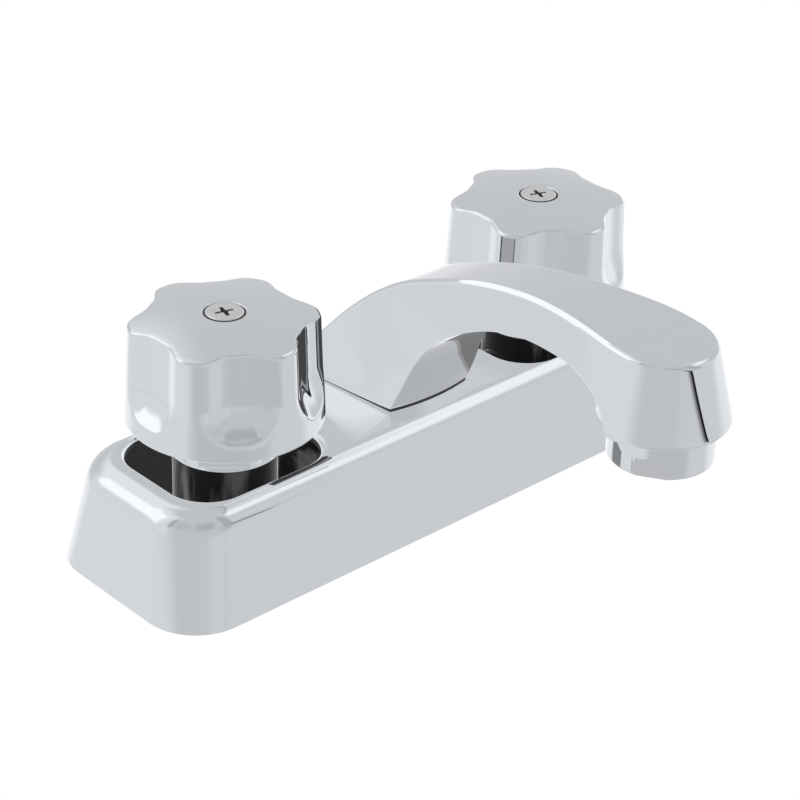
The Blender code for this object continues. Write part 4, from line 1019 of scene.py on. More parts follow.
def spout_skin(sizes):
    """Both halves of the skin, joined, with the foot closed."""
    grid = spout_grid(sizes)
    bm = bmesh.new()
    for side in (1.0, -1.0):
        quilt(bm, [[bm.verts.new((side * point.x, point.y, point.z)) for point in row] for row in grid])
    bmesh.ops.remove_doubles(bm, verts=bm.verts, dist=1e-6)
    bmesh.ops.dissolve_degenerate(bm, edges=bm.edges, dist=1e-7)
    bmesh.ops.holes_fill(bm, edges=[edge for edge in bm.edges if len(edge.link_faces) == 1])
    return bm


def make_gasket(sizes, surfaces):
    """The black seal that fills the gap between the boss and the spout's foot."""
    half = [Vector((point.x, point.y)) for point in spout_grid(sizes)[0]]
    outline = half + [Vector((-point.x, point.y)) for point in reversed(half[1:-1])]
    outer = [point * sizes.gasket for point in outline]
    inner = [point.normalized() * sizes.gasket_bore for point in outline]
    low = COVER_HIGH.z + NEVER_COINCIDE
    rings = [[(*point, low) for point in outer],
             [(*point, foot_z(sizes, point.y) - NEVER_COINCIDE) for point in outer],
             [(*point, foot_z(sizes, point.y) - NEVER_COINCIDE) for point in inner],
             [(*point, low) for point in inner]]
    gasket = piece("foot_gasket", stack(rings, closed=True), surfaces["rubber"], 40.0)
    place_piece(gasket, "tap_body", ["spout_gasket"])


def make_spout(sizes, surfaces):
    """The plated spout, with the wall behind its outlet and the bores for aerator and tube."""
    spout = piece("spout_body", spout_skin(sizes), surfaces["chrome"], 40.0)
    lip = sizes.lip
    floor = sizes.head_low_z + 0.05 * MM
    roof = sizes.head_low_z + sizes.back_height
    profile = [(0.0, floor)]
    for sine, cosine in bends(6, first=0):
        profile.append((sizes.back_radius - lip * (1.0 - sine), floor + lip * (1.0 - cosine)))
    profile += [(sizes.back_radius - MM, roof), (0.0, roof)]
    back = lathe(profile, 128, (OUTLET.x, sizes.head_y))
    outlet_top = OUTLET_HIGH.z + 2.9 * MM
    outlet = rod(sizes.outlet_bore, sizes.head_low_z - MM, outlet_top, 96, (OUTLET.x, OUTLET.y))
    foot_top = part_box("spout_nipple")[1].z + CLEAR
    foot = rod(sizes.foot_bore, SPOUT_LOW.z - MM, foot_top, 48)
    combine(spout, [(piece("add_back", back, None), "UNION"),
                    (piece("cut_outlet", outlet, None), "DIFFERENCE"),
                    (piece("cut_foot", foot, None), "DIFFERENCE")])
    weigh_normals(spout, 40.0)
    coat(spout, surfaces["chrome"])
    place_piece(spout, "tap_body", ["spout"])


# Knobs

def crown_z(sizes, radius):
    """Height of the domed top at a distance from the axis."""
    return KNOB_HIGH.z - sizes.dome * (radius / sizes.top) ** 2


def knob_blank(sizes, centre_x, crown_steps=16, side_steps=46):
    """The knob before its flutes are cut: each point knows how much of the flutes' depth it takes."""
    low, high = KNOB_LOW.z, KNOB_HIGH.z
    span = high - sizes.dome - low
    side_top = high - sizes.dome - sizes.edge
    side_low = low + sizes.foot_edge

    def cone(z):
        return sizes.rim + (sizes.top - sizes.rim) * (z - low) / span

    def uncut(*points):
        return [(radius, z, 0.0, 0.0, 0.0) for radius, z in points]

    floor = SCREW_HIGH.z - sizes.recess_depth
    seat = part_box("cold_stem")[1].z + CLEAR
    socket_foot = low + sizes.socket_lift
    mouth_z = crown_z(sizes, sizes.recess)
    mouth = sizes.recess + sizes.recess_edge
    rows = uncut((sizes.bore, socket_foot), (sizes.bore, seat), (sizes.hole, seat), (sizes.hole, floor),
                 (sizes.recess - 0.05 * MM, floor), (sizes.recess, floor + 0.1 * MM),
                 (sizes.recess, mouth_z - 0.22 * MM), (sizes.recess + 0.07 * MM, mouth_z - 0.07 * MM),
                 (mouth, crown_z(sizes, mouth)))
    crown = cone(side_top) - sizes.edge
    for step in range(1, crown_steps + 1):
        u = step / crown_steps
        rows.append((mouth + (crown - mouth) * u, 0.0, u * u, 0.0, 1.0))
    for sine, cosine in bends(8):
        rows.append((cone(side_top) - sizes.edge * (1.0 - sine), 0.0, 1.0, sizes.edge * (1.0 - cosine), 1.0))
    for step in range(1, side_steps + 1):
        z = side_top + (side_low - side_top) * step / side_steps
        rows.append((cone(z), z, 1.0, 0.0, 0.0))
    rows += uncut(*[(sizes.rim - sizes.foot_edge * (1.0 - cosine), side_low - sizes.foot_edge * sine)
                    for sine, cosine in bends(6)])
    skirt = sizes.rim - sizes.wall
    skirt_top = low + sizes.skirt
    chamfer = 0.4 * MM
    roof = high - sizes.roof
    rows += uncut((skirt + chamfer, low), (skirt, low + chamfer), (skirt, skirt_top),
                  (sizes.core, skirt_top + 4.0 * MM), (sizes.core, roof - MM), (sizes.core - MM, roof),
                  (sizes.socket + MM, roof), (sizes.socket, roof - MM), (sizes.socket, socket_foot))
    bm = bmesh.new()
    takes = bm.verts.layers.float.new("takes")
    falls = bm.verts.layers.float.new("falls")
    crowned = bm.verts.layers.float.new("crowned")
    rings = []
    for radius, z, take, fall, crown_share in rows:
        ring = []
        for x, y, _ in circle(radius, 0.0, sizes.segments, (centre_x, 0.0)):
            vert = bm.verts.new((x, y, z))
            vert[takes] = take
            vert[falls] = fall
            vert[crowned] = crown_share
            ring.append(vert)
        rings.append(ring)
    hoop(bm, rings + rings[:1])
    return bm


FLUTE_NUMBERS = ("Axis X", "Turn", "Lobes", "Mean depth", "Wave 1", "Wave 2", "Wave 3", "Scoop radius",
                 "Scoop height", "Blend", "Top height", "Top radius", "Dome", "Side top")


def flute_tree(surface):
    """Cuts the flutes: each point moves towards the axis by the depth at its angle and height."""
    tree, graph, blank, number = geometry_tree("knob_flutes", FLUTE_NUMBERS)
    named = {name: graph.add("GeometryNodeInputNamedAttribute", {"data_type": "FLOAT"}, {"Name": name})
             for name in ("takes", "falls", "crowned")}
    x, y, z = axes(graph, graph.add("GeometryNodeInputPosition"))
    x = x - number["Axis X"]
    radius = (x * x + y * y).root()
    turn = (y.maths("ARCTAN2", y, x) - number["Turn"]) * number["Lobes"]
    wave = (number["Wave 1"] * turn.cosine() + number["Wave 2"] * (2.0 * turn).cosine()
            + number["Wave 3"] * (3.0 * turn).cosine())
    flute = number["Mean depth"] - wave
    level = z + named["crowned"] * (number["Side top"] - z)
    drop = (number["Scoop height"] - level).at_least(0.0)
    scoop = number["Scoop radius"]
    run_out = scoop - (scoop * scoop - drop * drop).at_least(0.0).root()
    depth = flute - run_out
    blend = number["Blend"]
    cut = 0.5 * (depth + (depth * depth + blend * blend).root()) * named["takes"]
    reach = radius - cut
    keep = reach / radius
    dome = number["Dome"] * (reach / number["Top radius"]) * (reach / number["Top radius"])
    crown = number["Top height"] - dome - named["falls"]
    height = z + named["crowned"] * (crown - z)
    where = graph.add("ShaderNodeCombineXYZ", inputs={
        "X": number["Axis X"] + x * keep, "Y": y * keep, "Z": height})
    moved = graph.add("GeometryNodeSetPosition", inputs={"Geometry": blank, "Position": where})
    close_tree(graph, moved, surface)
    return tree


def make_knob(side, sizes, tree, surfaces):
    """A plated knob, with painted shade down in the recess for its screw."""
    centre = axis_of(side)
    knob = piece(f"{side}_knob_body", knob_blank(sizes, centre), surfaces["chrome"], 45.0)
    run_tree(knob, tree, {
        "Axis X": centre, "Turn": getattr(sizes, f"{side}_turn"),
        "Lobes": float(sizes.lobes), "Mean depth": sizes.mean_depth, "Wave 1": sizes.wave_1,
        "Wave 2": sizes.wave_2, "Wave 3": sizes.wave_3, "Scoop radius": sizes.scoop,
        "Scoop height": KNOB_LOW.z + sizes.scoop_lift, "Blend": sizes.blend, "Top height": KNOB_HIGH.z,
        "Top radius": sizes.top, "Dome": sizes.dome, "Side top": KNOB_HIGH.z - sizes.dome - sizes.edge})
    smooth(knob.data, 50.0)
    coat(knob, surfaces["chrome"], surfaces["dark_inside_and_shade"])
    # Painted shade: faces down in the recess take the near-black finish instead of chrome
    chrome_from = crown_z(sizes, sizes.recess) - 0.3 * MM
    dark_to = sizes.recess + 0.05 * MM
    for face in knob.data.polygons:
        radius = math.hypot(face.center.x - centre, face.center.y)
        face.material_index = 1 if radius < dark_to and face.center.z < chrome_from else 0
    place_piece(knob, f"{side}_handle", [f"{side}_knob"])


# Handle screws

def make_screw(side, sizes, knob, surfaces):
    """A pan head with a tapered cross recess, on a plain shank."""
    centre = (axis_of(side), 0.0)
    top = SCREW_HIGH.z - sizes.sink
    under = top - sizes.head_height
    crown = 0.12 * MM
    edge = 0.4 * MM
    edge_height = 0.38 * MM
    burr = 0.15 * MM
    profile = [(0.0, SCREW_LOW.z), (sizes.shank - edge, SCREW_LOW.z), (sizes.shank, SCREW_LOW.z + 0.5 * MM),
               (sizes.shank, under), (sizes.head - burr, under), (sizes.head, under + burr),
               (sizes.head, top - crown - edge_height)]
    for sine, cosine in bends(5):
        profile.append((sizes.head - edge * (1.0 - cosine), top - crown - edge_height * (1.0 - sine)))
    for step in range(1, 6):
        u = 1.0 - step / 5
        profile.append((max((sizes.head - edge) * u, 0.0), top - crown * u * u))
    screw = piece(f"{side}_screw", lathe(profile, 96, centre), surfaces[f"{side}_screw"], 35.0)
    for k in (0, 1):
        levels = ((top - sizes.cross_depth * (1.0 - 0.04 * k), sizes.cross * 0.22, 0.55),
                  (top - 0.25 * MM, sizes.cross * 0.5, 1.0), (top + MM, sizes.cross * 0.56, 1.15))
        arm = stack([[(side_x * reach, side_y * sizes.cross_width / 2.0 * slim, z)
                      for side_x, side_y in ((-1, -1), (1, -1), (1, 1), (-1, 1))]
                     for z, reach, slim in levels])
        spin(arm, centre, getattr(knob, f"{side}_turn") + math.pi * (0.5 * k + 0.25))
        combine(screw, [(piece(f"cut_{side}_cross_{k}", arm, None), "DIFFERENCE")])
    weigh_normals(screw, 35.0)
    coat(screw, surfaces[f"{side}_screw"])
    place_piece(screw, f"{side}_handle", [f"{side}_handle_screw"])


# Aerator

CELL_NUMBERS = ("Radius", "Spacing", "Thickness", "Height")


def cell_tree(surface):
    """A field of small upright pins inside a circle, used to pierce the flow straightener."""
    tree, graph, _, number = geometry_tree("straightener_holes", CELL_NUMBERS)
    rows = 15
    row_height = math.sqrt(3.0) / 2.0
    reach = number["Spacing"] * float(rows - 1)
    field = graph.add("GeometryNodeMeshGrid", inputs={
        "Size X": reach, "Size Y": reach * row_height, "Vertices X": rows, "Vertices Y": rows})
    y = axes(graph, graph.add("GeometryNodeInputPosition"))[1]
    line = y / (number["Spacing"] * row_height)
    odd = line.maths("FLOORED_MODULO", line.maths("ROUND", line), 2.0)
    nudge = graph.add("ShaderNodeCombineXYZ", inputs={"X": odd * number["Spacing"] * 0.5})
    field = graph.add("GeometryNodeSetPosition", inputs={"Geometry": field, "Offset": nudge})
    x, y, _ = axes(graph, graph.add("GeometryNodeInputPosition"))
    away = (x * x + y * y).root()
    out = away.maths("GREATER_THAN", away, number["Radius"])
    field = graph.add("GeometryNodeDeleteGeometry", {"domain": "POINT"}, {
        "Geometry": field, "Selection": out})
    pin = graph.add("GeometryNodeMeshCylinder", inputs={
        "Vertices": 6, "Radius": number["Thickness"], "Depth": number["Height"]})
    pins = graph.add("GeometryNodeInstanceOnPoints", inputs={"Points": field, "Instance": pin})
    close_tree(graph, pins, surface)
    return tree


def make_aerator(sizes, spout, surfaces):
    """The screwed outlet ring with its wrench flats."""
    centre = (OUTLET.x, OUTLET.y)
    low, top = OUTLET_LOW.z, OUTLET_HIGH.z
    shoulder = spout.head_low_z - CLEAR
    edge = 0.6 * MM
    chamfer = 0.2 * MM
    thread = 0.3 * MM
    root = sizes.neck - thread
    profile = [(sizes.mouth, low + 0.3 * MM), (sizes.mouth + 0.3 * MM, low)]
    for sine, cosine in bends(6, first=0):
        profile.append((sizes.radius - edge * (1.0 - sine), low + edge * (1.0 - cosine)))
    profile += [(sizes.radius, shoulder - chamfer), (sizes.radius - chamfer, shoulder),
                (sizes.neck, shoulder)]
    turns = 6
    pitch = (top - shoulder - 2.0 * thread) / turns
    for k in range(turns):
        z = shoulder + thread + pitch * k
        profile += [(root, z + pitch * 0.15), (sizes.neck, z + pitch * 0.45),
                    (sizes.neck, z + pitch * 0.6), (root, z + pitch * 0.9)]
    profile += [(root, top), (sizes.mouth - MM, top), (sizes.mouth - MM, shoulder), (sizes.mouth, shoulder)]
    housing = piece("aerator_ring", lathe(profile, 128, centre), surfaces["chrome"], 35.0)
    tools = []
    away = sizes.flat + 5.0 * MM
    for k in (0, 1):
        block = stack([[(sizes.flat, -sizes.radius, z), (away, -sizes.radius, z),
                        (away, sizes.radius, z), (sizes.flat, sizes.radius, z)]
                       for z in (low - MM, low + sizes.flat_height)])
        spin(block, centre, sizes.flat_turn + math.pi * k)
        tools.append((piece(f"cut_flat_{k}", block, None), "DIFFERENCE"))
    combine(housing, tools)
    weigh_normals(housing, 35.0)
    coat(housing, surfaces["chrome"])
    place_piece(housing, "tap_body", ["aerator_housing"])


def make_straightener(sizes, surfaces):
    """The pierced disc that straightens the flow."""
    centre = (OUTLET.x, OUTLET.y)
    low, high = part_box("aerator_insert")
    radius = high.x
    rim = 0.25 * MM
    border = 1.3 * MM
    body = [(0.0, low.z), (radius - rim, low.z), (radius, low.z + rim),
            (radius, high.z - rim), (radius - rim, high.z), (0.0, high.z)]
    insert = piece("flow_straightener", lathe(body, 96, centre), surfaces["white"], 30.0)
    pins = seed("cut_holes", surfaces["white"])
    run_tree(pins, cell_tree(surfaces["white"]), {
        "Radius": radius - border, "Spacing": sizes.cell, "Thickness": sizes.cell * 0.42,
        "Height": high.z - low.z + 2.0 * MM})
    pins.data.transform(Matrix.Translation((*centre, (low.z + high.z) / 2.0)))
    combine(insert, [(pins, "DIFFERENCE")])
    smooth(insert.data, 30.0)
    coat(insert, surfaces["white"])
    place_piece(insert, "tap_body", ["aerator_insert"])


# Nuts, washers and the waterway

def over_corners(flats):
    """Radius of a hexagon's corners, from its width across flats."""
    return flats / 2.0 / math.cos(math.pi / 6.0)


def hexagon_points(flats, z, turn, centre):
    """A level hexagon with one flat facing a direction."""
    half = over_corners(flats)
    turns = [turn + math.pi / 6.0 + math.pi / 3.0 * k for k in range(6)]
    return [(centre[0] + half * math.cos(t), centre[1] + half * math.sin(t), z) for t in turns]


def flats_cutter(side, flats, turn, core_levels, radius, levels):
    """A round bar with a hexagonal hole, which cuts the six flats of a nut."""
    centre = (axis_of(side), 0.0)
    core = stack([hexagon_points(flats, z, turn, centre) for z in core_levels])
    bar = piece(f"cut_{side}_flats", stack([circle(radius, z, 48, centre) for z in levels]), None)
    return combine(bar, [(piece(f"cut_{side}_core", core, None), "DIFFERENCE")])


def make_bonnet_nut(side, sizes, surfaces):
    """A turned cap with six flats that stop above a round collar."""
    centre = (axis_of(side), 0.0)
    low, high = NUT_LOW.z, NUT_HIGH.z
    web = high - sizes.web
    bevel = high - sizes.bevel
    corner = sizes.corners
    bevel_in, bevel_up = 1.6 * MM, 1.38 * MM
    foot_chamfer = 0.3 * MM
    hole_chamfer = 0.4 * MM
    profile = [(sizes.bore, low), (corner - foot_chamfer, low), (corner, low + foot_chamfer), (corner, bevel)]
    for sine, cosine in bends(4, degrees=60.0):
        profile.append((corner - bevel_in * (1.0 - cosine), min(bevel + bevel_up * sine, high)))
    profile += [(sizes.stem_hole + hole_chamfer, high), (sizes.stem_hole, high - hole_chamfer),
                (sizes.stem_hole, web), (sizes.bore, web)]
    nut = piece(f"{side}_cap_nut", lathe(profile, 120, centre), surfaces["chrome"], 30.0)
    collar = low + sizes.collar
    cutter = flats_cutter(side, sizes.flats, sizes.turn, (collar, high + MM), corner + 3.0 * MM,
                          (collar, high + 0.5 * MM))
    combine(nut, [(cutter, "DIFFERENCE")])
    weigh_normals(nut, 30.0)
    coat(nut, surfaces["chrome"])
    place_piece(nut, "tap_body", [f"{side}_bonnet_nut"])


THREAD_NUMBERS = ("Radius", "Height", "Turns", "Ridge")


def thread_tree(surface):
    """A ridge of rounded section along a spiral."""
    tree, graph, _, number = geometry_tree("thread_ridge", THREAD_NUMBERS)
    spiral = graph.add("GeometryNodeCurveSpiral", inputs={
        "Resolution": 48, "Rotations": number["Turns"], "Start Radius": number["Radius"],
        "End Radius": number["Radius"], "Height": number["Height"]})
    section = graph.add("GeometryNodeCurvePrimitiveCircle", inputs={
        "Resolution": 6, "Radius": number["Ridge"]})
    ridge = graph.add("GeometryNodeCurveToMesh", inputs={
        "Curve": spiral, "Profile Curve": section, "Fill Caps": True})
    close_tree(graph, ridge, surface)
    return tree


def barrel_profile(sizes):
    """Half section of a shank, its flange on the base plate, the barrel and the neck for the nut."""
    low = WATERWAY_LOW.z
    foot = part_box("base_plate")[1].z + CLEAR
    flange_top = foot + sizes.flange_height
    shoulder = NUT_LOW.z - CLEAR
    bevel = 0.6 * MM
    chamfer = 0.4 * MM
    fillet = 0.3 * MM
    return [(0.0, low), (sizes.shank - bevel, low), (sizes.shank, low + bevel), (sizes.shank, foot),
            (sizes.flange - 0.5 * MM, foot), (sizes.flange, foot + 0.5 * MM),
            (sizes.flange, flange_top - bevel), (sizes.flange - bevel, flange_top),
            (sizes.barrel + fillet, flange_top), (sizes.barrel, flange_top + chamfer),
            (sizes.barrel, shoulder - chamfer), (sizes.barrel - chamfer, shoulder), (sizes.neck, shoulder),
            (sizes.neck, WATERWAY_HIGH.z), (0.0, WATERWAY_HIGH.z)]


def bore_profile(sizes):
    """Half section of the inlet's bore, the port through the seat and the chamber over it."""
    low, high = WATERWAY_LOW.z - MM, WATERWAY_HIGH.z + MM
    return [(0.0, low), (sizes.inlet, low), (sizes.inlet, sizes.port_foot), (sizes.port, sizes.port_foot),
            (sizes.port, sizes.seat), (sizes.chamber, sizes.seat), (sizes.chamber, high), (0.0, high)]


def make_waterway(sizes, cover, surfaces):
    """The black moulded body in the wells, with its bar, hub and inlets."""
    hub_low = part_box("spout_washer")[1].z + CLEAR
    hub_top = cover_height(cover) - cover.roof - CLEAR
    chamfer = 0.5 * MM
    body = [(0.0, hub_low), (sizes.hub - chamfer, hub_low), (sizes.hub, hub_low + chamfer),
            (sizes.hub, hub_top - chamfer), (sizes.hub - chamfer, hub_top), (0.0, hub_top)]
    hub = piece("waterway", lathe(body, 72), surfaces["black"], 35.0)
    room = hub_top - hub_low
    pipe = rod(sizes.bar * room, -axis_of("cold"), axis_of("cold"), 48)
    lift = Matrix.Translation((0.0, 0.0, hub_low + sizes.bar_height * room))
    bmesh.ops.transform(pipe, matrix=lift @ Matrix.Rotation(math.pi / 2.0, 4, "Y"), verts=pipe.verts)
    tools = [(piece("add_bar", pipe, None), "UNION")]
    for side in SIDES:
        centre = (axis_of(side), 0.0)
        barrel = lathe(barrel_profile(sizes), 72, centre)
        bore = lathe(bore_profile(sizes), 48, centre)
        tools.append((piece(f"add_{side}_barrel", barrel, None), "UNION"))
        tools.append((piece(f"cut_{side}_bore", bore, None), "DIFFERENCE"))
    hub_bore = rod(sizes.hub_bore, hub_low - MM, hub_top + MM, 36)
    tools.append((piece("cut_hub", hub_bore, None), "DIFFERENCE"))
    combine(hub, tools)
    weigh_normals(hub, 32.0)
    coat(hub, surfaces["black"])
    place_piece(hub, "tap_body", ["underbody"])


def make_inlet_threads(sizes, surfaces):
    """The raised threads of both inlet shanks."""
    tree = thread_tree(surfaces["black"])
    tall = -WATERWAY_LOW.z - 3.0 * MM
    start = WATERWAY_LOW.z + 1.2 * MM
    for side in SIDES:
        ridge = seed(f"{side}_inlet_thread", surfaces["black"])
        run_tree(ridge, tree, {"Radius": sizes.shank - sizes.thread * 0.35, "Height": tall,
                               "Turns": tall / sizes.pitch, "Ridge": sizes.thread * 0.6})
        ridge.data.transform(Matrix.Translation((axis_of(side), 0.0, start)))
        smooth(ridge.data, 60.0)
        place_piece(ridge, "tap_body", [])


def make_fixings(sizes, surfaces):
    """Washers and lock nuts under the deck."""
    for side in SIDES:
        centre = (axis_of(side), 0.0)
        low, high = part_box(f"{side}_mounting_washer")
        outer = (high.x - low.x) / 2.0
        chamfer = 0.3 * MM
        rows = [(sizes.lock_bore, low.z), (outer - chamfer, low.z), (outer, low.z + chamfer),
                (outer, high.z - chamfer), (outer - chamfer, high.z), (sizes.lock_bore, high.z)]
        washer = piece(f"{side}_deck_washer", lathe(rows, 96, centre), surfaces[f"{side}_zinc"], 30.0)
        place_piece(washer, "tap_body", [f"{side}_mounting_washer"])
        low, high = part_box(f"{side}_mounting_nut")
        corner = over_corners(sizes.lock_flats)
        face = corner - 2.0 * MM
        bevel = 1.1 * MM
        blank = [(sizes.lock_bore, low.z), (face, low.z), (corner, low.z + bevel), (corner, high.z - bevel),
                 (face, high.z), (sizes.lock_bore, high.z)]
        nut = piece(f"{side}_lock_nut", lathe(blank, 96, centre), surfaces[f"{side}_brass"], 30.0)
        cutter = flats_cutter(side, sizes.lock_flats, 0.0, (low.z - 2.0 * MM, high.z + 2.0 * MM),
                              corner * 1.3, (low.z - MM, high.z + MM))
        combine(nut, [(cutter, "DIFFERENCE")])
        weigh_normals(nut, 30.0)
        coat(nut, surfaces[f"{side}_brass"])
        place_piece(nut, "tap_body", [f"{side}_mounting_nut"])


def dress_inner(surfaces):
    """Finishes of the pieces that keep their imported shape."""
    dress("base_plate", surfaces["matt"])
    dress("aerator_washer", surfaces["rubber"])
    dress("spout_washer", surfaces["hub_zinc"])
    dress("spout_nut", surfaces["hub_brass"])
    dress("spout_nipple", surfaces["hub_brass"])
    for side in SIDES:
        for part in ("seat_seal", "stem_ring"):
            dress(f"{side}_{part}", surfaces["rubber"])
        for part in ("fixed_disc", "moving_disc"):
            dress(f"{side}_{part}", surfaces["ceramic"])
        for part in ("cartridge_sleeve", "stem"):
            dress(f"{side}_{part}", surfaces[f"{side}_brass"])


# Stage

def camera_matrix(sizes):
    """The photograph's viewpoint."""
    turn, lift, roll = sizes.azimuth, sizes.elevation, sizes.roll
    back = Vector((math.sin(turn) * math.cos(lift), -math.cos(turn) * math.cos(lift), math.sin(lift)))
    level = Vector((math.cos(turn), math.sin(turn), 0.0))
    upright = back.cross(level)
    right = level * math.cos(roll) + upright * math.sin(roll)
    up = upright * math.cos(roll) - level * math.sin(roll)
    matrix = Matrix((right, up, back)).transposed().to_4x4()
    matrix.translation = back * sizes.distance + right * sizes.pan + up * sizes.lift
    return matrix


def glow(name, strength):
    """A plain luminous surface that is clear from behind."""
    made, graph = new_material(name, (1.0, 1.0, 1.0))
    light = graph.add("ShaderNodeEmission", inputs={"Color": (1.0, 1.0, 1.0, 1.0), "Strength": strength})
    clear = graph.add("ShaderNodeBsdfTransparent")
    behind = graph.add("ShaderNodeNewGeometry").pick("Backfacing")
    close_material(graph, graph.add("ShaderNodeMixShader", inputs={0: behind, 1: light, 2: clear}))
    return made


# Light cards round the tap: degrees from and to round the axis, from and to in height, softness
# round and in height, and the light's strength. Zero degrees is behind the tap on the right,
# opposite the camera, and the angle grows anticlockwise seen from above.
CARDS = (
    (-200.0, -40.0, -95.0, -8.0, 6.0, 10.0, 0.90),
    (-122.0, -70.0, -95.0, 38.0, 10.0, 10.0, 0.96),
    (60.0, 150.0, -95.0, -12.0, 14.0, 5.0, 1.08),
    (60.0, 140.0, -12.0, 70.0, 14.0, 5.0, 1.09),
    (-200.0, -126.0, -95.0, -20.0, 8.0, 6.0, 0.79),
    (150.0, 220.0, -95.0, -20.0, 10.0, 10.0, 0.79),
    (-150.0, -124.0, -22.0, -2.0, 8.0, 6.0, 0.96),
    (-132.0, -104.0, 4.0, 30.0, 6.0, 8.0, 0.82),
    (-172.0, -134.0, 30.0, 54.0, 8.0, 8.0, 0.68),
    (142.0, 176.0, 30.0, 56.0, 8.0, 8.0, 0.77),
    (16.0, 118.0, 28.0, 62.0, 7.0, 10.0, 1.24),
    (-6.0, 60.0, -44.0, -10.0, 12.0, 8.0, 1.20),
    (-72.0, -12.0, -50.0, 6.0, 10.0, 10.0, 1.17),
    (-62.0, -36.0, -14.0, 6.0, 6.0, 6.0, 1.26),
    (-36.0, -12.0, -14.0, 10.0, 8.0, 6.0, 1.40),
    (-84.0, -10.0, -95.0, -36.0, 8.0, 4.0, 0.70),
    (-92.0, -24.0, 43.0, 55.0, 5.0, 5.0, 1.42),
    (-84.0, -8.0, 58.5, 61.0, 8.0, 1.5, 0.60),
    (71.0, 111.0, 15.0, 54.0, 6.0, 6.0, 1.58),
    (-119.0, -101.0, 12.0, 60.0, 3.0, 6.0, 0.66),
    (131.0, 141.0, 26.0, 62.0, 3.0, 8.0, 0.66),
)


def upright_card(x, y_from, y_to, low, high):
    """Corners of a card across X. It faces +X where y_to is the greater, and otherwise -X."""
    return (x, y_from, low), (x, y_to, low), (x, y_to, high), (x, y_from, high)


def level_card(x_from, x_to, y_from, y_to, z):
    """Corners of a level card that faces up."""
    return (x_from, y_from, z), (x_to, y_from, z), (x_to, y_to, z), (x_from, y_to, z)


# Small cards close to the tap, seen in reflections alone and only on the side that they face:
# each one's light and its corners in millimetres
NEAR_CARDS = {
    "flute_shade_front": (0.03, upright_card(-29.0, -16.5, -17.3, 34.0, 62.0)),
    "flute_shade_middle": (0.40, upright_card(-29.0, -15.3, -16.5, 34.0, 62.0)),
    "flute_shade_back": (0.08, upright_card(-29.0, -7.0, -15.3, 34.0, 62.0)),
    "lobe_shade_left": (0.03, upright_card(16.0, -3.6, 0.6, 38.0, 57.0)),
    "lobe_shade_middle": (0.56, upright_card(16.0, -16.9, -3.6, 38.0, 57.0)),
    "lobe_shade_right": (0.22, upright_card(16.0, -18.5, -16.9, 38.0, 57.0)),
    "edge_shade": (0.16, ((-44.0, -29.5, 60.0), (-12.0, -28.4, 60.0), (-12.0, -29.9, 60.0))),
    "arch_shade_near": (0.44, level_card(14.6, 15.8, -34.0, -10.0, 30.0)),
    "arch_shade_far": (0.28, level_card(15.8, 42.0, -34.0, -10.0, 30.0)),
    "outlet_shade_left": (0.36, upright_card(-15.0, -84.0, -66.0, 38.0, 49.0)),
    "outlet_light": (0.78, upright_card(-16.0, -108.0, -90.0, 38.0, 49.0)),
    "spout_edge_light": (1.55, (
        (-48.0, -20.5, 74.0), (5.0, -20.5, 74.0), (8.0, -20.5, 112.0), (26.0, -20.5, 135.0),
        (26.0, -20.5, 172.0), (-48.0, -20.5, 172.0))),
}


def studio(sizes):
    """A pale room with soft light cards and a few dark ones."""
    world = bpy.data.worlds.new("studio")
    world.use_nodes = True
    world.node_tree.nodes.clear()
    graph = Graph(world.node_tree)
    x, y, z = axes(graph, graph.add("ShaderNodeTexCoord").pick("Generated"))
    slant = math.sqrt(0.5)
    turn = x.maths("ARCTAN2", slant * (y - x), slant * (x + y)) * (180.0 / math.pi)
    height = z.maths("ARCSINE", z) * (180.0 / math.pi)
    light = sizes.room
    for turn_from, turn_to, low, high, soft_turn, soft_height, strength in CARDS:
        mask = smooth_step(graph, turn, turn_from - soft_turn, turn_from + soft_turn)
        mask = mask * (1.0 - smooth_step(graph, turn, turn_to - soft_turn, turn_to + soft_turn))
        mask = mask * smooth_step(graph, height, low - soft_height, low + soft_height)
        mask = mask * (1.0 - smooth_step(graph, height, high - soft_height, high + soft_height))
        light = light + mask * (strength - light)
    backdrop = graph.add("ShaderNodeBackground", inputs={
        "Color": (0.985, 0.993, 1.0, 1.0), "Strength": light})
    graph.add("ShaderNodeOutputWorld", inputs={"Surface": backdrop})
    return world


def keep_out_of_reflections():
    """Lets the plate reflect the room, the flag and the near cards alone, as on the photograph."""
    for target in bpy.context.scene.objects:
        target.visible_glossy = target.name == "flag" or target.name in NEAR_CARDS


def reflections_only(card):
    """Hides a card from all but mirror reflections."""
    for kind in ("camera", "diffuse", "transmission", "volume_scatter", "shadow"):
        setattr(card, f"visible_{kind}", False)


def flat_piece(name, corners, surface):
    """One face of the stage through its corners."""
    mesh = bpy.data.meshes.new(name)
    mesh.from_pydata(corners, [], [range(len(corners))])
    mesh.materials.append(surface)
    return put(name, mesh)


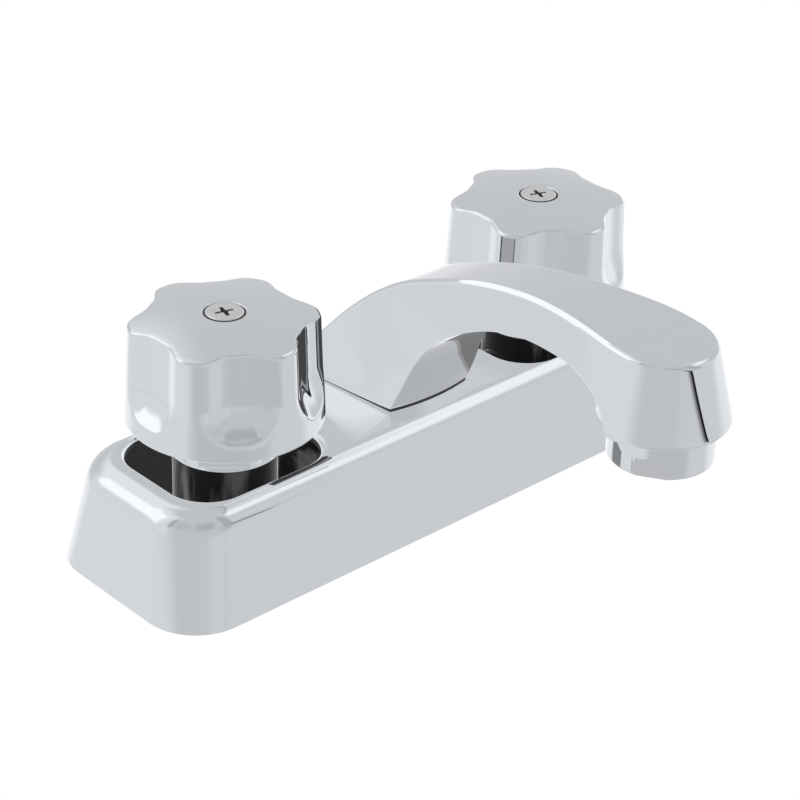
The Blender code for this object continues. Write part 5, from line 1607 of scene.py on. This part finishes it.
def make_flag(sizes, spout):
    """A narrow slanting black flag before the head, soft on one side and seen in reflections alone."""
    y = SPOUT_LOW.y - 26.0 * MM
    slant = (sizes.flag_top - sizes.flag_foot) / (spout.head_top_z - spout.head_low_z)
    over = 8.0 * MM
    corners = []
    for z, order in ((spout.head_low_z - over, (-1.0, 1.0)), (spout.head_top_z + over, (1.0, -1.0))):
        middle = sizes.flag_foot + slant * (z - spout.head_low_z)
        corners += [(middle + side * sizes.flag, y, z) for side in order]
    made, graph = new_material("flag_black", (0.01, 0.01, 0.01))
    x, _, z = axes(graph, own_place(graph))
    across = (x - sizes.flag_foot - slant * (z - spout.head_low_z)) * (1.0 / sizes.flag)
    fade = 1.0 - smooth_step(graph, across, -1.0, 0.75)
    close_material(graph, graph.add("ShaderNodeEmission", inputs={
        "Color": (1.0, 1.0, 1.0, 1.0), "Strength": fade * sizes.flag_edge}))
    flag = flat_piece("flag", corners, made)
    reflections_only(flag)


def make_near_cards():
    """The small cards, each with its own light."""
    for name, (strength, corners) in NEAR_CARDS.items():
        places = [[MM * value for value in corner] for corner in corners]
        card = flat_piece(name, places, glow(name, strength))
        reflections_only(card)


def make_stage(sizes, spout):
    """The camera, the white floor, the cards and the room's light."""
    scene = bpy.context.scene
    camera = put("camera", bpy.data.cameras.new("camera"))
    camera.data.sensor_width = 36.0
    camera.data.lens = sizes.lens
    camera.data.clip_start = 0.01
    camera.data.clip_end = 20.0
    camera.matrix_world = camera_matrix(sizes)
    scene.camera = camera
    scene.view_settings.view_transform = "Standard"
    scene.view_settings.look = "None"
    half = sizes.floor / 2.0
    floor = flat_piece("floor", level_card(-half, half, -half, half, 0.0), glow("floor_white", 1.0))
    floor.location.z = -NEVER_COINCIDE
    make_flag(sizes, spout)
    make_near_cards()
    keep_out_of_reflections()
    scene.world = studio(sizes)


SURFACES = {}


def fill_surfaces(finishes, screw):
    """Makes every finish. Turned ones are centred on the axis that they were turned round."""
    SURFACES.update({
        "chrome": chrome_plate(finishes), "dark_inside_and_shade": dark_inside_and_painted_shade(finishes), "black": black_gloss(finishes),
        "matt": matt_black(finishes), "rubber": soft_rubber(finishes),
        "white": pale_moulding("white_moulding", finishes.white, 0.3),
        "ceramic": pale_moulding("ground_ceramic", finishes.ceramic, 0.15),
        "hub_brass": turned_metal("hub_brass", finishes.brass, (0.0, 0.0), 0.2),
        "hub_zinc": turned_metal("hub_zinc", finishes.zinc, (0.0, 0.0), 0.25),
    })
    for side in SIDES:
        centre = (axis_of(side), 0.0)
        SURFACES[f"{side}_screw"] = screw_plate(finishes, f"{side}_screw_plate", centre,
                                                SCREW_HIGH.z - screw.sink)
        SURFACES[f"{side}_brass"] = turned_metal(f"{side}_brass", finishes.brass, centre, 0.2)
        SURFACES[f"{side}_zinc"] = turned_metal(f"{side}_zinc", finishes.zinc, centre, 0.25)


# Operators

class TapOperator:
    """What all the operators share."""
    bl_options = {"REGISTER", "UNDO"}


class TAP_OT_finishes(TapOperator, bpy.types.Operator):
    """Makes the finishes."""
    bl_idname = "tap.finishes"
    bl_label = "Finishes"

    def execute(self, context):
        fill_surfaces(context.scene.tap_finish, context.scene.tap_screw)
        return {"FINISHED"}


class TAP_OT_cover(TapOperator, bpy.types.Operator):
    """Builds the plated cover."""
    bl_idname = "tap.cover"
    bl_label = "Cover"

    def execute(self, context):
        make_cover(context.scene.tap_cover, context.scene.tap_spout, SURFACES)
        return {"FINISHED"}


class TAP_OT_spout(TapOperator, bpy.types.Operator):
    """Builds the arched spout and the seal under its foot."""
    bl_idname = "tap.spout"
    bl_label = "Spout"

    def execute(self, context):
        make_spout(context.scene.tap_spout, SURFACES)
        make_gasket(context.scene.tap_spout, SURFACES)
        return {"FINISHED"}


class TAP_OT_knobs(TapOperator, bpy.types.Operator):
    """Builds both fluted knobs."""
    bl_idname = "tap.knobs"
    bl_label = "Knobs"

    def execute(self, context):
        tree = flute_tree(SURFACES["chrome"])
        for side in SIDES:
            make_knob(side, context.scene.tap_knob, tree, SURFACES)
        return {"FINISHED"}


class TAP_OT_screws(TapOperator, bpy.types.Operator):
    """Builds the screws on the knobs."""
    bl_idname = "tap.screws"
    bl_label = "Handle screws"

    def execute(self, context):
        for side in SIDES:
            make_screw(side, context.scene.tap_screw, context.scene.tap_knob, SURFACES)
        return {"FINISHED"}


class TAP_OT_aerator(TapOperator, bpy.types.Operator):
    """Builds the aerator's housing and flow straightener."""
    bl_idname = "tap.aerator"
    bl_label = "Aerator"

    def execute(self, context):
        make_aerator(context.scene.tap_outlet, context.scene.tap_spout, SURFACES)
        make_straightener(context.scene.tap_outlet, SURFACES)
        return {"FINISHED"}


class TAP_OT_bonnet_nuts(TapOperator, bpy.types.Operator):
    """Builds the nuts under the knobs."""
    bl_idname = "tap.bonnet_nuts"
    bl_label = "Bonnet nuts"

    def execute(self, context):
        for side in SIDES:
            make_bonnet_nut(side, context.scene.tap_nut, SURFACES)
        return {"FINISHED"}


class TAP_OT_waterway(TapOperator, bpy.types.Operator):
    """Builds the moulded waterway with its threaded inlets."""
    bl_idname = "tap.waterway"
    bl_label = "Waterway"

    def execute(self, context):
        make_waterway(context.scene.tap_waterway, context.scene.tap_cover, SURFACES)
        make_inlet_threads(context.scene.tap_waterway, SURFACES)
        return {"FINISHED"}


class TAP_OT_fixings(TapOperator, bpy.types.Operator):
    """Builds the washers and lock nuts under the deck."""
    bl_idname = "tap.fixings"
    bl_label = "Deck fixings"

    def execute(self, context):
        make_fixings(context.scene.tap_nut, SURFACES)
        return {"FINISHED"}


class TAP_OT_inner(TapOperator, bpy.types.Operator):
    """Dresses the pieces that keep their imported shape."""
    bl_idname = "tap.inner"
    bl_label = "Inner pieces"

    def execute(self, context):
        dress_inner(SURFACES)
        return {"FINISHED"}


class TAP_OT_stage(TapOperator, bpy.types.Operator):
    """Sets the camera, floor and lights."""
    bl_idname = "tap.stage"
    bl_label = "Stage"

    def execute(self, context):
        make_stage(context.scene.tap_stage, context.scene.tap_spout)
        return {"FINISHED"}


OPERATORS = (TAP_OT_finishes, TAP_OT_cover, TAP_OT_spout, TAP_OT_knobs, TAP_OT_screws, TAP_OT_aerator,
             TAP_OT_bonnet_nuts, TAP_OT_waterway, TAP_OT_fixings, TAP_OT_inner, TAP_OT_stage)


class TAP_PT_pieces(bpy.types.Panel):
    """Lists the pieces of the tap and their sizes."""
    bl_idname = "TAP_PT_pieces"
    bl_label = "Basin mixer tap"
    bl_space_type = "VIEW_3D"
    bl_region_type = "UI"
    bl_category = "Tap"

    def draw(self, context):
        for operator in OPERATORS:
            self.layout.operator(operator.bl_idname)
        for name in GROUPS:
            box = self.layout.box()
            group = getattr(context.scene, name)
            for key in group.bl_rna.properties.keys():
                if key not in ("rna_type", "name"):
                    box.prop(group, key)


def register():
    """Adds the sizes, the operators and the panel."""
    for group in GROUPS.values():
        bpy.utils.register_class(group)
    for name, group in GROUPS.items():
        setattr(bpy.types.Scene, name, PointerProperty(type=group))
    for operator in OPERATORS:
        bpy.utils.register_class(operator)
    bpy.utils.register_class(TAP_PT_pieces)


def unregister():
    """Takes them away again, in the opposite order."""
    bpy.utils.unregister_class(TAP_PT_pieces)
    for operator in reversed(OPERATORS):
        bpy.utils.unregister_class(operator)
    for name in GROUPS:
        delattr(bpy.types.Scene, name)
    for group in reversed(list(GROUPS.values())):
        bpy.utils.unregister_class(group)


def main():
    """Builds the tap."""
    register()
    for operator in OPERATORS:
        group, name = operator.bl_idname.split(".")
        getattr(getattr(bpy.ops, group), name)()


if __name__ == "__main__":
    main()
